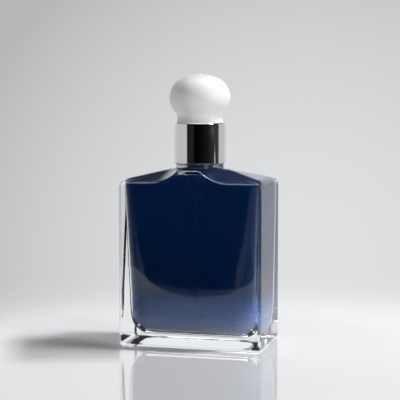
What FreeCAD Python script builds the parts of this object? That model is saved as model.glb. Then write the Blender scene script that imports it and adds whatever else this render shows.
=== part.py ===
import FreeCAD, Part
import math
import operator
import os
from types import SimpleNamespace

import Sketcher

# Aftershave spray bottle: a heavy glass flacon with a crimped spray pump, a metal collar and a
# pull-off knob. Millimetres, +Z up, origin in the middle of the base, front towards -Y.

# Each driving size: its alias, its number and what it measures.
DRIVING_SIZES = (
    ("bottle_width", "65", "outside width of the glass"),
    ("bottle_depth", "40", "outside depth of the glass"),
    ("side_height", "75", "height of the end faces where the shoulder lines meet them"),
    ("shoulder_rise", "4.6", "rise of the flat deck above side_height"),
    ("deck_margin", "1.05", "flat deck left round the foot of the round step"),
    ("deck_blend", "8", "radius between the deck and each sloping shoulder"),
    ("shoulder_round", "4", "radius between a shoulder and its end face"),
    ("foot_round", "2", "radius between an end face and the base"),
    ("edge_round", "1.6", "radius round the front and the back face"),
    ("base_rim", "7", "width of the rim that the glass stands on"),
    ("base_hollow", "0.8", "depth of the hollow under the base"),
    ("brow_drop", "1", "level part of the front top edge below side_height"),
    ("brow_margin", "5", "where that level part starts, outside the flat deck"),
    ("brow_tip", "5", "half width of the raised middle of the front top edge, at the deck"),
    ("brow_rise", "5.6", "rise of a front slope from the front face to the middle of the depth"),
    ("brow_round", "1", "radius along the front top edge"),
    ("side_wall", "1.8", "glass between the cavity and an end face"),
    ("front_wall", "3.2", "glass between the cavity and the front face"),
    ("base_thick", "4.6", "glass under the cavity"),
    ("roof_wall", "1.4", "glass over the cavity, measured upright"),
    ("throat_round", "3.6", "radius between the cavity's roof and the neck bore"),
    ("cavity_draft", "1.2", "how much each side of the cavity draws in towards its heel"),
    ("cavity_corner", "9", "plan radius of the cavity at its heel"),
    ("corner_top", "3.5", "plan radius of the cavity under its roof"),
    ("heel_wide", "7", "radius of the cavity's heel seen from the front"),
    ("heel_flat", "1.2", "half depth of the flat middle of the cavity's floor"),
    ("heel_rise", "18", "height of the heel seen from the side"),
    ("boss_diameter", "21.5", "round step of the glass under the collar"),
    ("boss_height", "2.2", "height of that step above the deck"),
    ("boss_fillet", "1.2", "hollow radius at the foot of that step"),
    ("boss_edge", "0.5", "radius round the top of that step"),
    ("neck_height", "7.6", "rim above the round step"),
    ("bead_diameter", "15", "bead that the ferrule is crimped under"),
    ("bead_step", "1", "bead proud of the neck under it"),
    ("bead_height", "3.2", "height of the bead"),
    ("bead_round", "0.8", "radius round the bead"),
    ("neck_bore", "9.6", "bore of the neck"),
    ("fill_drop", "0.6", "liquid level below the top of the round step"),
    ("liquid_gap", "0.1", "clearance between the liquid and what it touches"),
    ("fit_gap", "0.05", "radial clearance of fixed fits"),
    ("slide_gap", "0.08", "radial clearance of sliding and turning fits"),
    ("seat_gap", "0.05", "clearance between moving pieces and the faces they rest on"),
    ("gasket_thick", "0.8", "neck gasket"),
    ("flange_step", "0.3", "pump flange back from the bead that it is clamped to"),
    ("flange_thick", "1.2", "thickness of that flange"),
    ("housing_gap", "0.4", "clearance between the pump housing and the neck bore"),
    ("housing_wall", "1.1", "wall of the pump housing"),
    ("chamber_depth", "16", "spring ledge below the flange"),
    ("ledge_thick", "1", "housing below that ledge, down to its tapered end"),
    ("tail_diameter", "5.4", "socket for the dip tube"),
    ("tail_length", "8", "length of that socket"),
    ("vent_diameter", "0.8", "air vent through the housing"),
    ("vent_drop", "2.2", "air vent below the flange"),
    ("ball_diameter", "2.4", "check ball of the inlet"),
    ("ball_lip", "0.8", "thickness of the lip that keeps the ball in"),
    ("ball_lip_bore", "2.1", "hole in that lip"),
    ("ball_well", "3", "bore that the ball moves in"),
    ("ball_well_height", "2", "height of that bore above the seat"),
    ("inlet_bore", "1.6", "inlet hole under the ball"),
    ("inlet_height", "0.7", "length of the inlet hole"),
    ("tube_diameter", "3", "dip tube"),
    ("tube_bore", "1.6", "bore of the dip tube"),
    ("tube_clear", "1.5", "slanted end of the dip tube above the cavity floor"),
    ("tube_slant", "2.5", "length of the slanted end"),
    ("guide_flange", "10", "flange of the stem guide"),
    ("guide_thick", "1.2", "thickness of that flange"),
    ("guide_plug", "3", "plug of the guide inside the housing"),
    ("guide_nose_diameter", "6.4", "nose of the guide above the ferrule"),
    ("guide_nose", "2", "length of the nose"),
    ("stem_diameter", "3.3", "hollow stem"),
    ("stem_bore", "1.2", "bore of the stem"),
    ("stem_foot_diameter", "5", "foot of the stem under the piston"),
    ("stem_foot", "1", "thickness of the foot"),
    ("stem_pilot", "1.5", "spigot under the foot that centres the spring"),
    ("stem_port", "0.7", "cross hole of the stem"),
    ("stem_entry", "3.3", "depth of the stem in the button"),
    ("piston_length", "3.6", "piston"),
    ("piston_lip", "0.7", "height of each sealing lip"),
    ("piston_relief", "0.4", "piston between its lips, back from the housing's wall"),
    ("spring_wire", "0.5", "wire of the return spring"),
    ("spring_diameter", "4.6", "return spring on the middle of its wire"),
    ("spring_turns", "7", "turns of the return spring"),
    ("ferrule_wall", "0.4", "sheet of the ferrule"),
    ("ferrule_gap", "0.1", "clearance between the ferrule and the bead"),
    ("crimp_gap", "0.25", "clearance between the crimped lip and the neck"),
    ("collar_diameter", "23.5", "metal collar"),
    ("collar_height", "18.1", "height of the collar"),
    ("collar_wall", "0.55", "sheet of the collar"),
    ("collar_lift", "0.3", "collar above the round step of the glass"),
    ("collar_edge", "0.4", "radius round the top of the collar"),
    ("collar_mouth", "17.5", "bore that takes the knob's sleeve"),
    ("mouth_depth", "7", "depth of that bore"),
    ("mouth_floor", "1.2", "ring under that bore"),
    ("collar_lip_step", "0.25", "collar's lip back from the mouth"),
    ("sleeve_wall", "1.2", "outer sleeve of the collar liner"),
    ("rib_count", "12", "grip ribs on the ferrule"),
    ("rib_width", "1", "width of a grip rib"),
    ("rib_height", "5", "height of a grip rib"),
    ("press_travel", "4.5", "travel of the button"),
    ("press_clear", "0.4", "gap left under the pressed button"),
    ("button_gap", "0.8", "clearance between the button and the cap liner's sleeve"),
    ("button_height", "13.3", "height of the button"),
    ("button_shell_wall", "0.5", "metal shell of the button"),
    ("button_edge", "0.8", "radius round the top of the button"),
    ("button_dish", "0.5", "depth of the finger dish"),
    ("button_skirt", "2.6", "depth of the hollow under the button"),
    ("button_skirt_bore", "8.8", "width of that hollow"),
    ("button_channel", "1", "channel above the stem"),
    ("button_feed", "0.8", "cross channel from there to the nozzle"),
    ("nozzle_drop", "4", "nozzle axis below the top of the button"),
    ("nozzle_diameter", "3.9", "nozzle insert"),
    ("nozzle_length", "2.6", "length of the insert"),
    ("nozzle_face", "0.8", "front wall of the insert"),
    ("nozzle_swirl", "2.4", "swirl chamber behind that wall"),
    ("nozzle_orifice", "0.5", "spray orifice"),
    ("nozzle_cone", "1.5", "mouth of the orifice"),
    ("nozzle_recess", "0.5", "insert back from the face of the shell"),
    ("nozzle_window", "4.6", "hole in the button shell"),
    ("knob_diameter", "27.4", "white knob at its widest"),
    ("knob_crown", "10.5", "top of the knob above its widest place"),
    ("knob_rise", "9", "widest place above the waist"),
    ("knob_flatness", "0.7", "how much tighter the flank is rounded than the crown is high"),
    ("knob_waist", "20.3", "waist of the knob"),
    ("knob_waist_height", "2.4", "waist above the collar"),
    ("knob_flare", "0.45", "foot of the knob proud of its waist"),
    ("pip_diameter", "1.2", "moulding pip on top of the knob"),
    ("pip_height", "0.4", "height of the pip"),
    ("cap_sleeve_gap", "0.15", "clearance between the cap liner's sleeve and the collar's mouth"),
    ("cap_sleeve_wall", "1.6", "wall of the sleeve"),
    ("cap_sleeve_drop", "6.5", "sleeve below the knob's foot"),
    ("cap_headroom", "1.2", "clearance above the button"),
    ("cap_roof", "1.2", "closed top of the sleeve"),
    ("grip_count", "6", "grip beads on the sleeve"),
    ("grip_proud", "0.1", "grip bead above the sleeve"),
    ("grip_width", "1.2", "width of a grip bead"),
    ("grip_height", "4", "height of a grip bead"),
)

HEEL_STEPS = 6
CUT_MARGIN = 1.0
INSIDE_SHARE = 0.9

doc = FreeCAD.newDocument("aftershave_bottle")
sheet = doc.addObject("Spreadsheet::Sheet", "Dims")


class Size:
    """A number together with the sheet expression that it comes from."""

    def __init__(self, number, text):
        self.number = number
        self.text = text

    def __add__(self, other):
        return combined(self, "+", other)

    def __radd__(self, other):
        return combined(other, "+", self)

    def __sub__(self, other):
        return combined(self, "-", other)

    def __rsub__(self, other):
        return combined(other, "-", self)

    def __mul__(self, other):
        return combined(self, "*", other)

    def __rmul__(self, other):
        return combined(other, "*", self)

    def __truediv__(self, other):
        return combined(self, "/", other)

    def __neg__(self):
        return combined(0, "-", self)


SIGNS = {"+": operator.add, "-": operator.sub, "*": operator.mul, "/": operator.truediv}


def sized(value):
    """A plain number as a size."""
    return value if isinstance(value, Size) else Size(float(value), repr(value))


def combined(left, sign, right):
    """Two sizes joined by an arithmetic sign."""
    left = sized(left)
    right = sized(right)
    number = SIGNS[sign](left.number, right.number)
    return Size(number, f"({left.text} {sign} {right.text})")


def root(value):
    """The square root of a size."""
    return Size(math.sqrt(value.number), f"sqrt({value.text})")


def smaller(left, right):
    """The smaller of two sizes."""
    return Size(min(left.number, right.number), f"min({left.text}; {right.text})")


def fill_sheet():
    """Writes the driving sizes to the sheet and returns them by alias."""
    sizes = {}
    for row, (alias, number, meaning) in enumerate(DRIVING_SIZES, start=1):
        sheet.set(f"A{row}", meaning)
        sheet.set(f"B{row}", number)
        sheet.setAlias(f"B{row}", alias)
        sizes[alias] = Size(float(number), f"Dims.{alias}")
    doc.recompute()
    return SimpleNamespace(**sizes)


d = fill_sheet()

# Heights and radii that several pieces share.
deck_height = d.side_height + d.shoulder_rise
boss_top = deck_height + d.boss_height
rim_top = boss_top + d.neck_height
bead_under = rim_top - d.bead_height
flange_under = rim_top + d.gasket_thick
flange_top = flange_under + d.flange_thick
guide_top = flange_top + d.guide_thick
tower_top = guide_top + d.ferrule_wall
nose_top = guide_top + d.guide_nose
plug_under = flange_top - d.guide_plug
ledge_top = flange_under - d.chamber_depth
shank_under = ledge_top - d.ledge_thick
lip_under = ledge_top - d.ball_lip
seat_top = lip_under - d.ball_well_height
seat_under = seat_top - (d.ball_well - d.inlet_bore) / 2
socket_top = seat_under - d.inlet_height
tail_under = socket_top - d.tail_length
tube_under = d.base_thick + d.tube_clear
piston_top = plug_under - d.seat_gap
piston_under = piston_top - d.piston_length
foot_under = piston_under - d.stem_foot
collar_under = boss_top + d.collar_lift
collar_top = collar_under + d.collar_height
liner_top = collar_top - d.collar_wall
mouth_under = liner_top - d.mouth_depth
button_under = tower_top + d.press_clear + d.press_travel
button_top = button_under + d.button_height
core_top = button_top - d.button_shell_wall
skirt_top = button_under + d.button_skirt
stem_top = skirt_top + d.stem_entry
stem_socket_top = stem_top + d.seat_gap
nozzle_level = button_top - d.nozzle_drop
cap_under = collar_top + d.seat_gap
sleeve_under = cap_under - d.cap_sleeve_drop
cap_roof_under = button_top + d.cap_headroom
cap_roof_top = cap_roof_under + d.cap_roof
liquid_level = boss_top - d.fill_drop

deck_half = d.boss_diameter / 2 + d.boss_fillet + d.deck_margin
bore_radius = d.neck_bore / 2
neck_radius = d.bead_diameter / 2 - d.bead_step
flange_radius = d.bead_diameter / 2 - d.flange_step
housing_radius = bore_radius - d.housing_gap
chamber_radius = housing_radius - d.housing_wall
stem_radius = d.stem_diameter / 2
tube_radius = d.tube_diameter / 2
tail_radius = d.tail_diameter / 2
ball_radius = d.ball_diameter / 2
ferrule_inner = d.bead_diameter / 2 + d.ferrule_gap
ferrule_outer = ferrule_inner + d.ferrule_wall
tower_inner = d.guide_flange / 2 + d.fit_gap
nose_radius = d.guide_nose_diameter / 2
collar_radius = d.collar_diameter / 2
sleeve_outer = collar_radius - d.collar_wall - d.fit_gap
sleeve_inner = sleeve_outer - d.sleeve_wall
mouth_radius = d.collar_mouth / 2
cap_sleeve_radius = mouth_radius - d.cap_sleeve_gap
cap_sleeve_inner = cap_sleeve_radius - d.cap_sleeve_wall
button_radius = cap_sleeve_inner - d.button_gap
core_radius = button_radius - d.button_shell_wall - d.fit_gap
nozzle_radius = d.nozzle_diameter / 2
nozzle_front = button_radius - d.nozzle_recess
nozzle_back = nozzle_front - d.nozzle_length


def add_arc(sketch, start, end, radius, turn):
    """Adds an arc of under half a circle and returns it with its two ends in drawing order."""
    chord = end - start
    height = math.sqrt(max(radius * radius - chord.Length * chord.Length / 4, 0.0))
    left = FreeCAD.Vector(-chord.y, chord.x, 0).normalize()
    centre = (start + end) / 2 + left * (height if turn == "left" else -height)
    first, last = (start, end) if turn == "left" else (end, start)
    angles = [math.atan2(p.y - centre.y, p.x - centre.x) for p in (first, last)]
    circle = Part.Circle(centre, FreeCAD.Vector(0, 0, 1), radius)
    index = sketch.addGeometry(Part.ArcOfCircle(circle, *angles), False)
    return (index, 1, 2) if turn == "left" else (index, 2, 1)


def bind(sketch, name, constraint, size):
    """Adds a named constraint that follows a size."""
    index = sketch.addConstraint(constraint)
    sketch.renameConstraint(index, name)
    sketch.setExpression(f"Constraints.{name}", size.text)


def draw(sketch, corners, prefix="p"):
    """Draws a closed outline: a corner is (x, y), or (x, y, radius, turn) where an arc leaves it."""
    corners = [(sized(c[0]), sized(c[1]), *c[2:]) for c in corners]
    points = [FreeCAD.Vector(c[0].number, c[1].number, 0) for c in corners]
    ends = []
    for index, corner in enumerate(corners):
        start = points[index]
        end = points[(index + 1) % len(points)]
        if len(corner) == 2:
            ends.append((sketch.addGeometry(Part.LineSegment(start, end), False), 1, 2))
            continue
        radius = sized(corner[2])
        ends.append(add_arc(sketch, start, end, radius.number, corner[3]))
        ring = Sketcher.Constraint("Radius", ends[-1][0], radius.number)
        bind(sketch, f"{prefix}{index}r", ring, radius)
    for index, (edge, first, last) in enumerate(ends):
        following, begin, _ = ends[(index + 1) % len(ends)]
        sketch.addConstraint(Sketcher.Constraint("Coincident", edge, last, following, begin))
        for axis, way, size in ((-2, "X", corners[index][0]), (-1, "Y", corners[index][1])):
            if size.text in ("0", "0.0"):
                sketch.addConstraint(Sketcher.Constraint("PointOnObject", edge, first, axis))
                continue
            place = Sketcher.Constraint(f"Distance{way}", -1, 1, edge, first, size.number)
            bind(sketch, f"{prefix}{index}{way.lower()}", place, size)


def draw_circle(sketch, level, diameter):
    """Draws a circle on the sketch's upright axis."""
    centre = FreeCAD.Vector(0, level.number, 0)
    circle = Part.Circle(centre, FreeCAD.Vector(0, 0, 1), diameter.number / 2)
    edge = sketch.addGeometry(circle, False)
    sketch.addConstraint(Sketcher.Constraint("PointOnObject", edge, 3, -2))
    bind(sketch, "level", Sketcher.Constraint("DistanceY", -1, 1, edge, 3, level.number), level)
    bind(sketch, "across", Sketcher.Constraint("Diameter", edge, diameter.number), diameter)


def new_body(label):
    """An empty body named after its piece."""
    body = doc.addObject("PartDesign::Body", label)
    body.Label = label
    return body


def sketch_on(body, role, name, lift=None):
    """A sketch on one of the body's own planes, lifted along the plane's normal."""
    sketch = body.newObject("Sketcher::SketchObject", f"{body.Name}_{name}")
    plane = next(f for f in body.Origin.OriginFeatures if f.Role == role)
    sketch.AttachmentSupport = [(plane, "")]
    sketch.MapMode = "FlatFace"
    if lift is not None:
        sketch.setExpression("AttachmentOffset.Base.z", lift.text)
    return sketch


def turn(body, name, corners, kind="Revolution"):
    """Turns an outline of radii and heights about the upright axis, adding or cutting."""
    sketch = sketch_on(body, "XZ_Plane", f"{name}_outline")
    draw(sketch, corners)
    feature = body.newObject(f"PartDesign::{kind}", f"{body.Name}_{name}")
    feature.Profile = sketch
    feature.ReferenceAxis = (sketch, ["V_Axis"])
    feature.Angle = 360
    doc.recompute()
    return feature


def turned_body(label, corners):
    """A piece that is one turned outline."""
    body = new_body(label)
    turn(body, "turned", corners)
    return body


def check_cut(cut, before):
    """Stops the build if a cut took nothing away."""
    if cut.Shape.Volume >= before:
        raise RuntimeError(f"{cut.Name} cuts nothing")


def cut_through(body, name, sketch, side="Symmetric", reverse=False):
    """Cuts a sketch through the body and checks that something was cut away."""
    before = body.Shape.Volume
    cut = body.newObject("PartDesign::Pocket", f"{body.Name}_{name}")
    cut.Profile = sketch
    cut.Type = "ThroughAll"
    cut.SideType = side
    cut.Reversed = reverse
    doc.recompute()
    check_cut(cut, before)


def repeat_round(body, feature, count):
    """Repeats a feature round the upright axis."""
    pattern = body.newObject("PartDesign::PolarPattern", f"{feature.Name}_ring")
    pattern.Originals = [feature]
    axis = next(f for f in body.Origin.OriginFeatures if f.Role == "Z_Axis")
    pattern.Axis = (axis, [""])
    pattern.Angle = 360
    pattern.setExpression("Occurrences", count.text)
    body.Tip = pattern
    doc.recompute()


def roof_line(drop):
    """The roof seen from the front, lowered, from the right end face over the deck to the left one."""
    half = d.bottle_width / 2
    run = half - deck_half
    slope = root(run * run + d.shoulder_rise * d.shoulder_rise)
    corner_reach = d.shoulder_round * (slope - d.shoulder_rise) / run
    corner_in = corner_reach * run / slope
    corner_up = corner_reach * d.shoulder_rise / slope
    bend_reach = d.deck_blend * (slope - run) / d.shoulder_rise
    bend_out = bend_reach * run / slope
    bend_down = bend_reach * d.shoulder_rise / slope
    side = d.side_height - drop
    deck = deck_height - drop
    return [
        (half, side - corner_reach, d.shoulder_round, "left"),
        (half - corner_in, side + corner_up),
        (deck_half + bend_out, deck - bend_down, d.deck_blend, "left"),
        (deck_half - bend_reach, deck),
        (bend_reach - deck_half, deck, d.deck_blend, "left"),
        (-(deck_half + bend_out), deck - bend_down),
        (corner_in - half, side + corner_up, d.shoulder_round, "left"),
        (-half, side - corner_reach),
    ]


def flacon_outline():
    """Front outline of the glass: flat base, upright ends and the roof."""
    half = d.bottle_width / 2
    return [
        (half - d.foot_round, 0, d.foot_round, "left"),
        (half, d.foot_round),
        *roof_line(sized(0)),
        (-half, d.foot_round, d.foot_round, "left"),
        (d.foot_round - half, 0),
    ]


def cut_brows(body, drop):
    """Cuts the front and the back slope of the roof, lowered, with their edges raised in the middle."""
    edge = d.side_height - d.brow_drop - drop
    level_from = deck_half + d.brow_margin
    reach = level_from - d.brow_tip
    lift = d.shoulder_rise + d.brow_drop
    sweep = (reach * reach + lift * lift) / (2 * lift)
    over = lift + CUT_MARGIN
    tip = level_from - root(over * (2 * sweep - over))
    far = d.bottle_width / 2 + CUT_MARGIN
    top = edge + over + CUT_MARGIN
    right = [
        (level_from, edge),
        (far, edge),
        (far, top),
        (tip, top),
        (tip, edge + over, sweep, "left"),
    ]
    left = [
        (-level_from, edge, sweep, "left"),
        (-tip, edge + over),
        (-tip, top),
        (-far, top),
        (-far, edge),
    ]
    half_deep = d.bottle_depth / 2
    for name, away in (("front", half_deep), ("back", -half_deep)):
        sketch = sketch_on(body, "XZ_Plane", f"{name}_brow", away)
        draw(sketch, right, "r")
        draw(sketch, left, "l")
        before = body.Shape.Volume
        slope = body.newObject("PartDesign::Pocket", f"{body.Name}_{name}_slope")
        slope.Profile = sketch
        slope.UseCustomVector = True
        slope.Direction = FreeCAD.Vector(0, away.number, d.brow_rise.number)
        slope.setExpression("Direction.y", away.text)
        slope.setExpression("Direction.z", d.brow_rise.text)
        slope.AlongSketchNormal = True
        slope.setExpression("Length", half_deep.text)
        doc.recompute()
        check_cut(slope, before)


def rounded_rectangle(half_wide, half_deep, corner):
    """A level outline with its four corners rounded."""
    straight_x = half_wide - corner
    straight_y = half_deep - corner
    return [
        (-straight_x, -half_deep),
        (straight_x, -half_deep, corner, "left"),
        (half_wide, -straight_y),
        (half_wide, straight_y, corner, "left"),
        (straight_x, half_deep),
        (-straight_x, half_deep, corner, "left"),
        (-half_wide, straight_y),
        (-half_wide, -straight_y, corner, "left"),
    ]


def cavity_levels(inset):
    """Heights, half widths, half depths and corner radii of the cavity, from its floor to the deck."""
    floor = d.base_thick + inset
    widest = d.bottle_width / 2 - d.side_wall - inset
    narrow = widest - d.cavity_draft
    deepest = d.bottle_depth / 2 - d.front_wall - inset
    heel_deep = d.bottle_depth / 2 - d.front_wall - d.heel_flat
    levels = []
    for step in range(HEEL_STEPS + 1):
        angle = math.pi / 2 * step / HEEL_STEPS
        rise = d.heel_rise * (1 - math.cos(angle))
        left_to_go = d.heel_wide - smaller(rise, d.heel_wide)
        half_wide = narrow - d.heel_wide + root(d.heel_wide * d.heel_wide - left_to_go * left_to_go)
        half_deep = deepest - heel_deep * (1 - math.sin(angle))
        corner = smaller(d.cavity_corner, half_deep * INSIDE_SHARE)
        levels.append((floor + rise, half_wide, half_deep, corner))
    levels.append((deck_height, widest, deepest, d.corner_top))
    return levels


def add_hollow(body, inset):
    """The hollow of the glass: a round heel, straight walls, the roof and the throat up the neck."""
    sections = []
    for number, (level, half_wide, half_deep, corner) in enumerate(cavity_levels(inset)):
        sketch = sketch_on(body, "XY_Plane", f"level_{number}", level)
        draw(sketch, rounded_rectangle(half_wide, half_deep, corner))
        sections.append(sketch)
    doc.recompute()
    for name, span in (("heel", sections[:-1]), ("walls", sections[-2:])):
        loft = body.newObject("PartDesign::AdditiveLoft", f"{body.Name}_{name}")
        loft.Profile = span[0]
        loft.Sections = span[1:]
        doc.recompute()
    drop = d.roof_wall + inset
    half = d.bottle_width / 2
    top = deck_height + CUT_MARGIN
    ridge = sketch_on(body, "XZ_Plane", "ridge")
    draw(ridge, [*roof_line(drop), (-half, top), (half, top)])
    cut_through(body, "under_ridge", ridge)
    cut_brows(body, drop)
    roof = deck_height - drop
    throat = bore_radius + d.throat_round
    rounding = d.throat_round + inset
    turn(body, "throat", [
        (0, roof - CUT_MARGIN),
        (throat, roof - CUT_MARGIN),
        (throat, roof, rounding, "right"),
        (throat - rounding, roof + rounding),
        (throat - rounding, rim_top + CUT_MARGIN),
        (0, rim_top + CUT_MARGIN),
    ])


def face_edges(feature):
    """Names of the edges that lie in the front or the back face of the glass."""
    face_at = d.bottle_depth.number / 2
    names = []
    for number, edge in enumerate(feature.Shape.Edges, start=1):
        if all(abs(abs(v.Point.y) - face_at) < 1e-6 for v in edge.Vertexes):
            names.append(f"Edge{number}")
    return names


def is_brow(edge):
    """Whether an edge of the front or the back face is the arc of a front slope."""
    lowest = min(v.Point.z for v in edge.Vertexes)
    return edge.Curve.TypeId == "Part::GeomCircle" and lowest > d.side_height.number / 2


def round_edges(body, name, edges, radius):
    """Rounds edges of the body's last feature."""
    soft = body.newObject("PartDesign::Fillet", f"{body.Name}_{name}")
    soft.Base = (soft.BaseFeature, edges)
    soft.setExpression("Radius", radius.text)
    doc.recompute()


def make_glass_bottle():
    """Heavy glass: a slab with a four-sided roof and a crimp neck, less its hollow."""
    outer = new_body("glass_outer")
    front = sketch_on(outer, "XZ_Plane", "front")
    draw(front, flacon_outline())
    block = outer.newObject("PartDesign::Pad", "glass_block")
    block.Profile = front
    block.SideType = "Symmetric"
    block.setExpression("Length", d.bottle_depth.text)
    doc.recompute()
    round_edges(outer, "edges", face_edges(block), d.edge_round)
    cut_brows(outer, sized(0))
    brows = [name for name in face_edges(outer.Tip) if is_brow(outer.Tip.getSubObject(name))]
    round_edges(outer, "brows", brows, d.brow_round)
    boss = d.boss_diameter / 2
    bead = d.bead_diameter / 2
    turn(outer, "neck", [
        (0, deck_height - d.boss_height),
        (boss + d.boss_fillet, deck_height - d.boss_height),
        (boss + d.boss_fillet, deck_height, d.boss_fillet, "right"),
        (boss, deck_height + d.boss_fillet),
        (boss, boss_top - d.boss_edge, d.boss_edge, "left"),
        (boss - d.boss_edge, boss_top),
        (neck_radius, boss_top),
        (neck_radius, bead_under),
        (bead - d.bead_round, bead_under, d.bead_round, "left"),
        (bead, bead_under + d.bead_round),
        (bead, rim_top - d.bead_round, d.bead_round, "left"),
        (bead - d.bead_round, rim_top),
        (0, rim_top),
    ])
    under = sketch_on(outer, "XY_Plane", "under")
    half_wide = d.bottle_width / 2 - d.base_rim
    half_deep = d.bottle_depth / 2 - d.base_rim
    draw(under, rounded_rectangle(half_wide, half_deep, d.base_rim))
    hollow = outer.newObject("PartDesign::Pocket", "glass_hollow")
    hollow.Profile = under
    hollow.Reversed = True
    hollow.setExpression("Length", d.base_hollow.text)
    doc.recompute()

    cavity = new_body("glass_cavity")
    add_hollow(cavity, sized(0))
    bottle = doc.addObject("Part::Cut", "glass_bottle")
    bottle.Base = outer
    bottle.Tool = cavity
    doc.recompute()
    print(f"brimful volume {(outer.Shape.Volume - bottle.Shape.Volume) / 1000:.1f} ml")
    return bottle


def make_liquid():
    """The aftershave up into the throat, with room for the pump and its dip tube."""
    body = new_body("aftershave_liquid")
    add_hollow(body, d.liquid_gap)
    far = d.bottle_width
    above = rim_top + 2 * CUT_MARGIN
    tube_hole = tube_radius + d.liquid_gap
    tail_hole = tail_radius + d.liquid_gap
    shank_hole = housing_radius + d.liquid_gap
    turn(body, "pump_space", [
        (0, tube_under - d.liquid_gap),
        (tube_hole, tube_under - d.liquid_gap),
        (tube_hole, tail_under - d.liquid_gap),
        (tail_hole, tail_under - d.liquid_gap),
        (tail_hole, socket_top - d.liquid_gap),
        (shank_hole, shank_under - d.liquid_gap),
        (shank_hole, liquid_level),
        (far, liquid_level),
        (far, above),
        (0, above),
    ], kind="Groove")
    print(f"liquid volume {body.Shape.Volume / 1000:.1f} ml")
    return body


def make_neck_gasket():
    """Soft ring between the glass rim and the pump flange."""
    inner = housing_radius + d.fit_gap
    return turned_body("neck_gasket", [
        (inner, rim_top),
        (flange_radius, rim_top),
        (flange_radius, flange_under),
        (inner, flange_under),
    ])


def make_pump_housing():
    """Flanged cylinder with the spring ledge, the ball well and the dip tube socket."""
    well = d.ball_well / 2
    inlet = d.inlet_bore / 2
    lip = d.ball_lip_bore / 2
    socket = tube_radius + d.fit_gap
    body = turned_body("pump_housing", [
        (chamber_radius, flange_top),
        (chamber_radius, ledge_top),
        (lip, ledge_top),
        (lip, lip_under),
        (well, lip_under),
        (well, seat_top),
        (inlet, seat_under),
        (inlet, socket_top),
        (socket, socket_top),
        (socket, tail_under),
        (tail_radius, tail_under),
        (tail_radius, socket_top),
        (housing_radius, shank_under),
        (housing_radius, flange_under),
        (flange_radius, flange_under),
        (flange_radius, flange_top),
    ])
    vent = sketch_on(body, "YZ_Plane", "vent")
    draw_circle(vent, flange_under - d.vent_drop, d.vent_diameter)
    cut_through(body, "vent_hole", vent, side="One side", reverse=True)
    return body


def make_dip_tube():
    """Straight suction tube with a slanted end."""
    body = turned_body("dip_tube", [
        (d.tube_bore / 2, tube_under),
        (tube_radius, tube_under),
        (tube_radius, socket_top),
        (d.tube_bore / 2, socket_top),
    ])
    slant = sketch_on(body, "XZ_Plane", "slant")
    draw(slant, [
        (-tube_radius, tube_under - CUT_MARGIN),
        (tube_radius, tube_under - CUT_MARGIN),
        (tube_radius, tube_under + d.tube_slant),
        (-tube_radius, tube_under),
    ])
    cut_through(body, "slanted_end", slant)
    return body


def make_inlet_ball():
    """Check ball, resting on the square cone of its seat."""
    ball = doc.addObject("Part::Sphere", "inlet_ball")
    ball.setExpression("Radius", ball_radius.text)
    rest = seat_under - d.inlet_bore / 2 + (ball_radius + d.seat_gap / 2) * math.sqrt(2)
    ball.setExpression("Placement.Base.z", rest.text)
    doc.recompute()
    return ball


def make_piston():
    """Soft piston with a sealing lip at each end."""
    inner = stem_radius + d.fit_gap
    outer = chamber_radius - d.slide_gap
    waist = chamber_radius - d.piston_relief
    return turned_body("piston", [
        (inner, piston_under),
        (outer, piston_under),
        (outer, piston_under + d.piston_lip),
        (waist, piston_under + 2 * d.piston_lip),
        (waist, piston_top - 2 * d.piston_lip),
        (outer, piston_top - d.piston_lip),
        (outer, piston_top),
        (inner, piston_top),
    ])


def make_stem():
    """Hollow stem: spring pilot and foot below, open top in the button."""
    foot = d.stem_foot_diameter / 2
    pilot = d.spring_diameter / 2 - d.spring_wire
    bore = d.stem_bore / 2
    bore_under = piston_under + d.stem_foot / 2
    body = turned_body("stem", [
        (0, foot_under - d.stem_pilot),
        (pilot, foot_under - d.stem_pilot),
        (pilot, foot_under),
        (foot, foot_under),
        (foot, piston_under),
        (stem_radius, piston_under),
        (stem_radius, stem_top),
        (bore, stem_top),
        (bore, bore_under),
        (0, bore_under),
    ])
    port = sketch_on(body, "XZ_Plane", "port")
    draw_circle(port, bore_under + d.stem_port, d.stem_port)
    cut_through(body, "cross_hole", port)
    return body


def make_stem_guide():
    """Closure of the housing that guides the stem and stops the piston."""
    inner = stem_radius + d.slide_gap
    plug = chamber_radius - d.fit_gap
    flange = d.guide_flange / 2
    return turned_body("stem_guide", [
        (inner, plug_under),
        (plug, plug_under),
        (plug, flange_top),
        (flange, flange_top),
        (flange, guide_top),
        (nose_radius, guide_top),
        (nose_radius, nose_top),
        (inner, nose_top),
    ])


def biarc(start, heading, end, last_heading):
    """Two tangent arcs from one point and heading to another."""
    chord = end - start
    spread = 2 * (heading.dot(last_heading) - 1)
    along = -2 * chord.dot(heading + last_heading)
    reach = (-along - math.sqrt(along * along - 4 * spread * chord.dot(chord))) / (2 * spread)
    first_corner = start + heading * reach
    second_corner = end - last_heading * reach
    joint = (first_corner + second_corner) / 2
    edges = []
    for near, corner, far in ((start, first_corner, joint), (joint, second_corner, end)):
        middle = (near + far) / 2
        lean = corner - middle
        half_chord = (far - near).Length / 2
        sagitta = half_chord * math.tan(math.atan2(lean.Length, half_chord) / 2)
        crown = middle + lean.normalize() * sagitta
        edges.append(Part.Arc(near, crown, far).toShape())
    return edges


def coil_gap(path, wire, turns):
    """Least clear gap of a coil to itself, measured on points along its path."""
    points = [p for edge in path.OrderedEdges for p in edge.discretize(9)[:-1]]
    per_turn = len(points) // turns
    gap = min((points[i] - points[j]).Length
              for i in range(len(points)) for j in range(i + per_turn // 2, len(points)))
    return gap - wire


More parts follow.
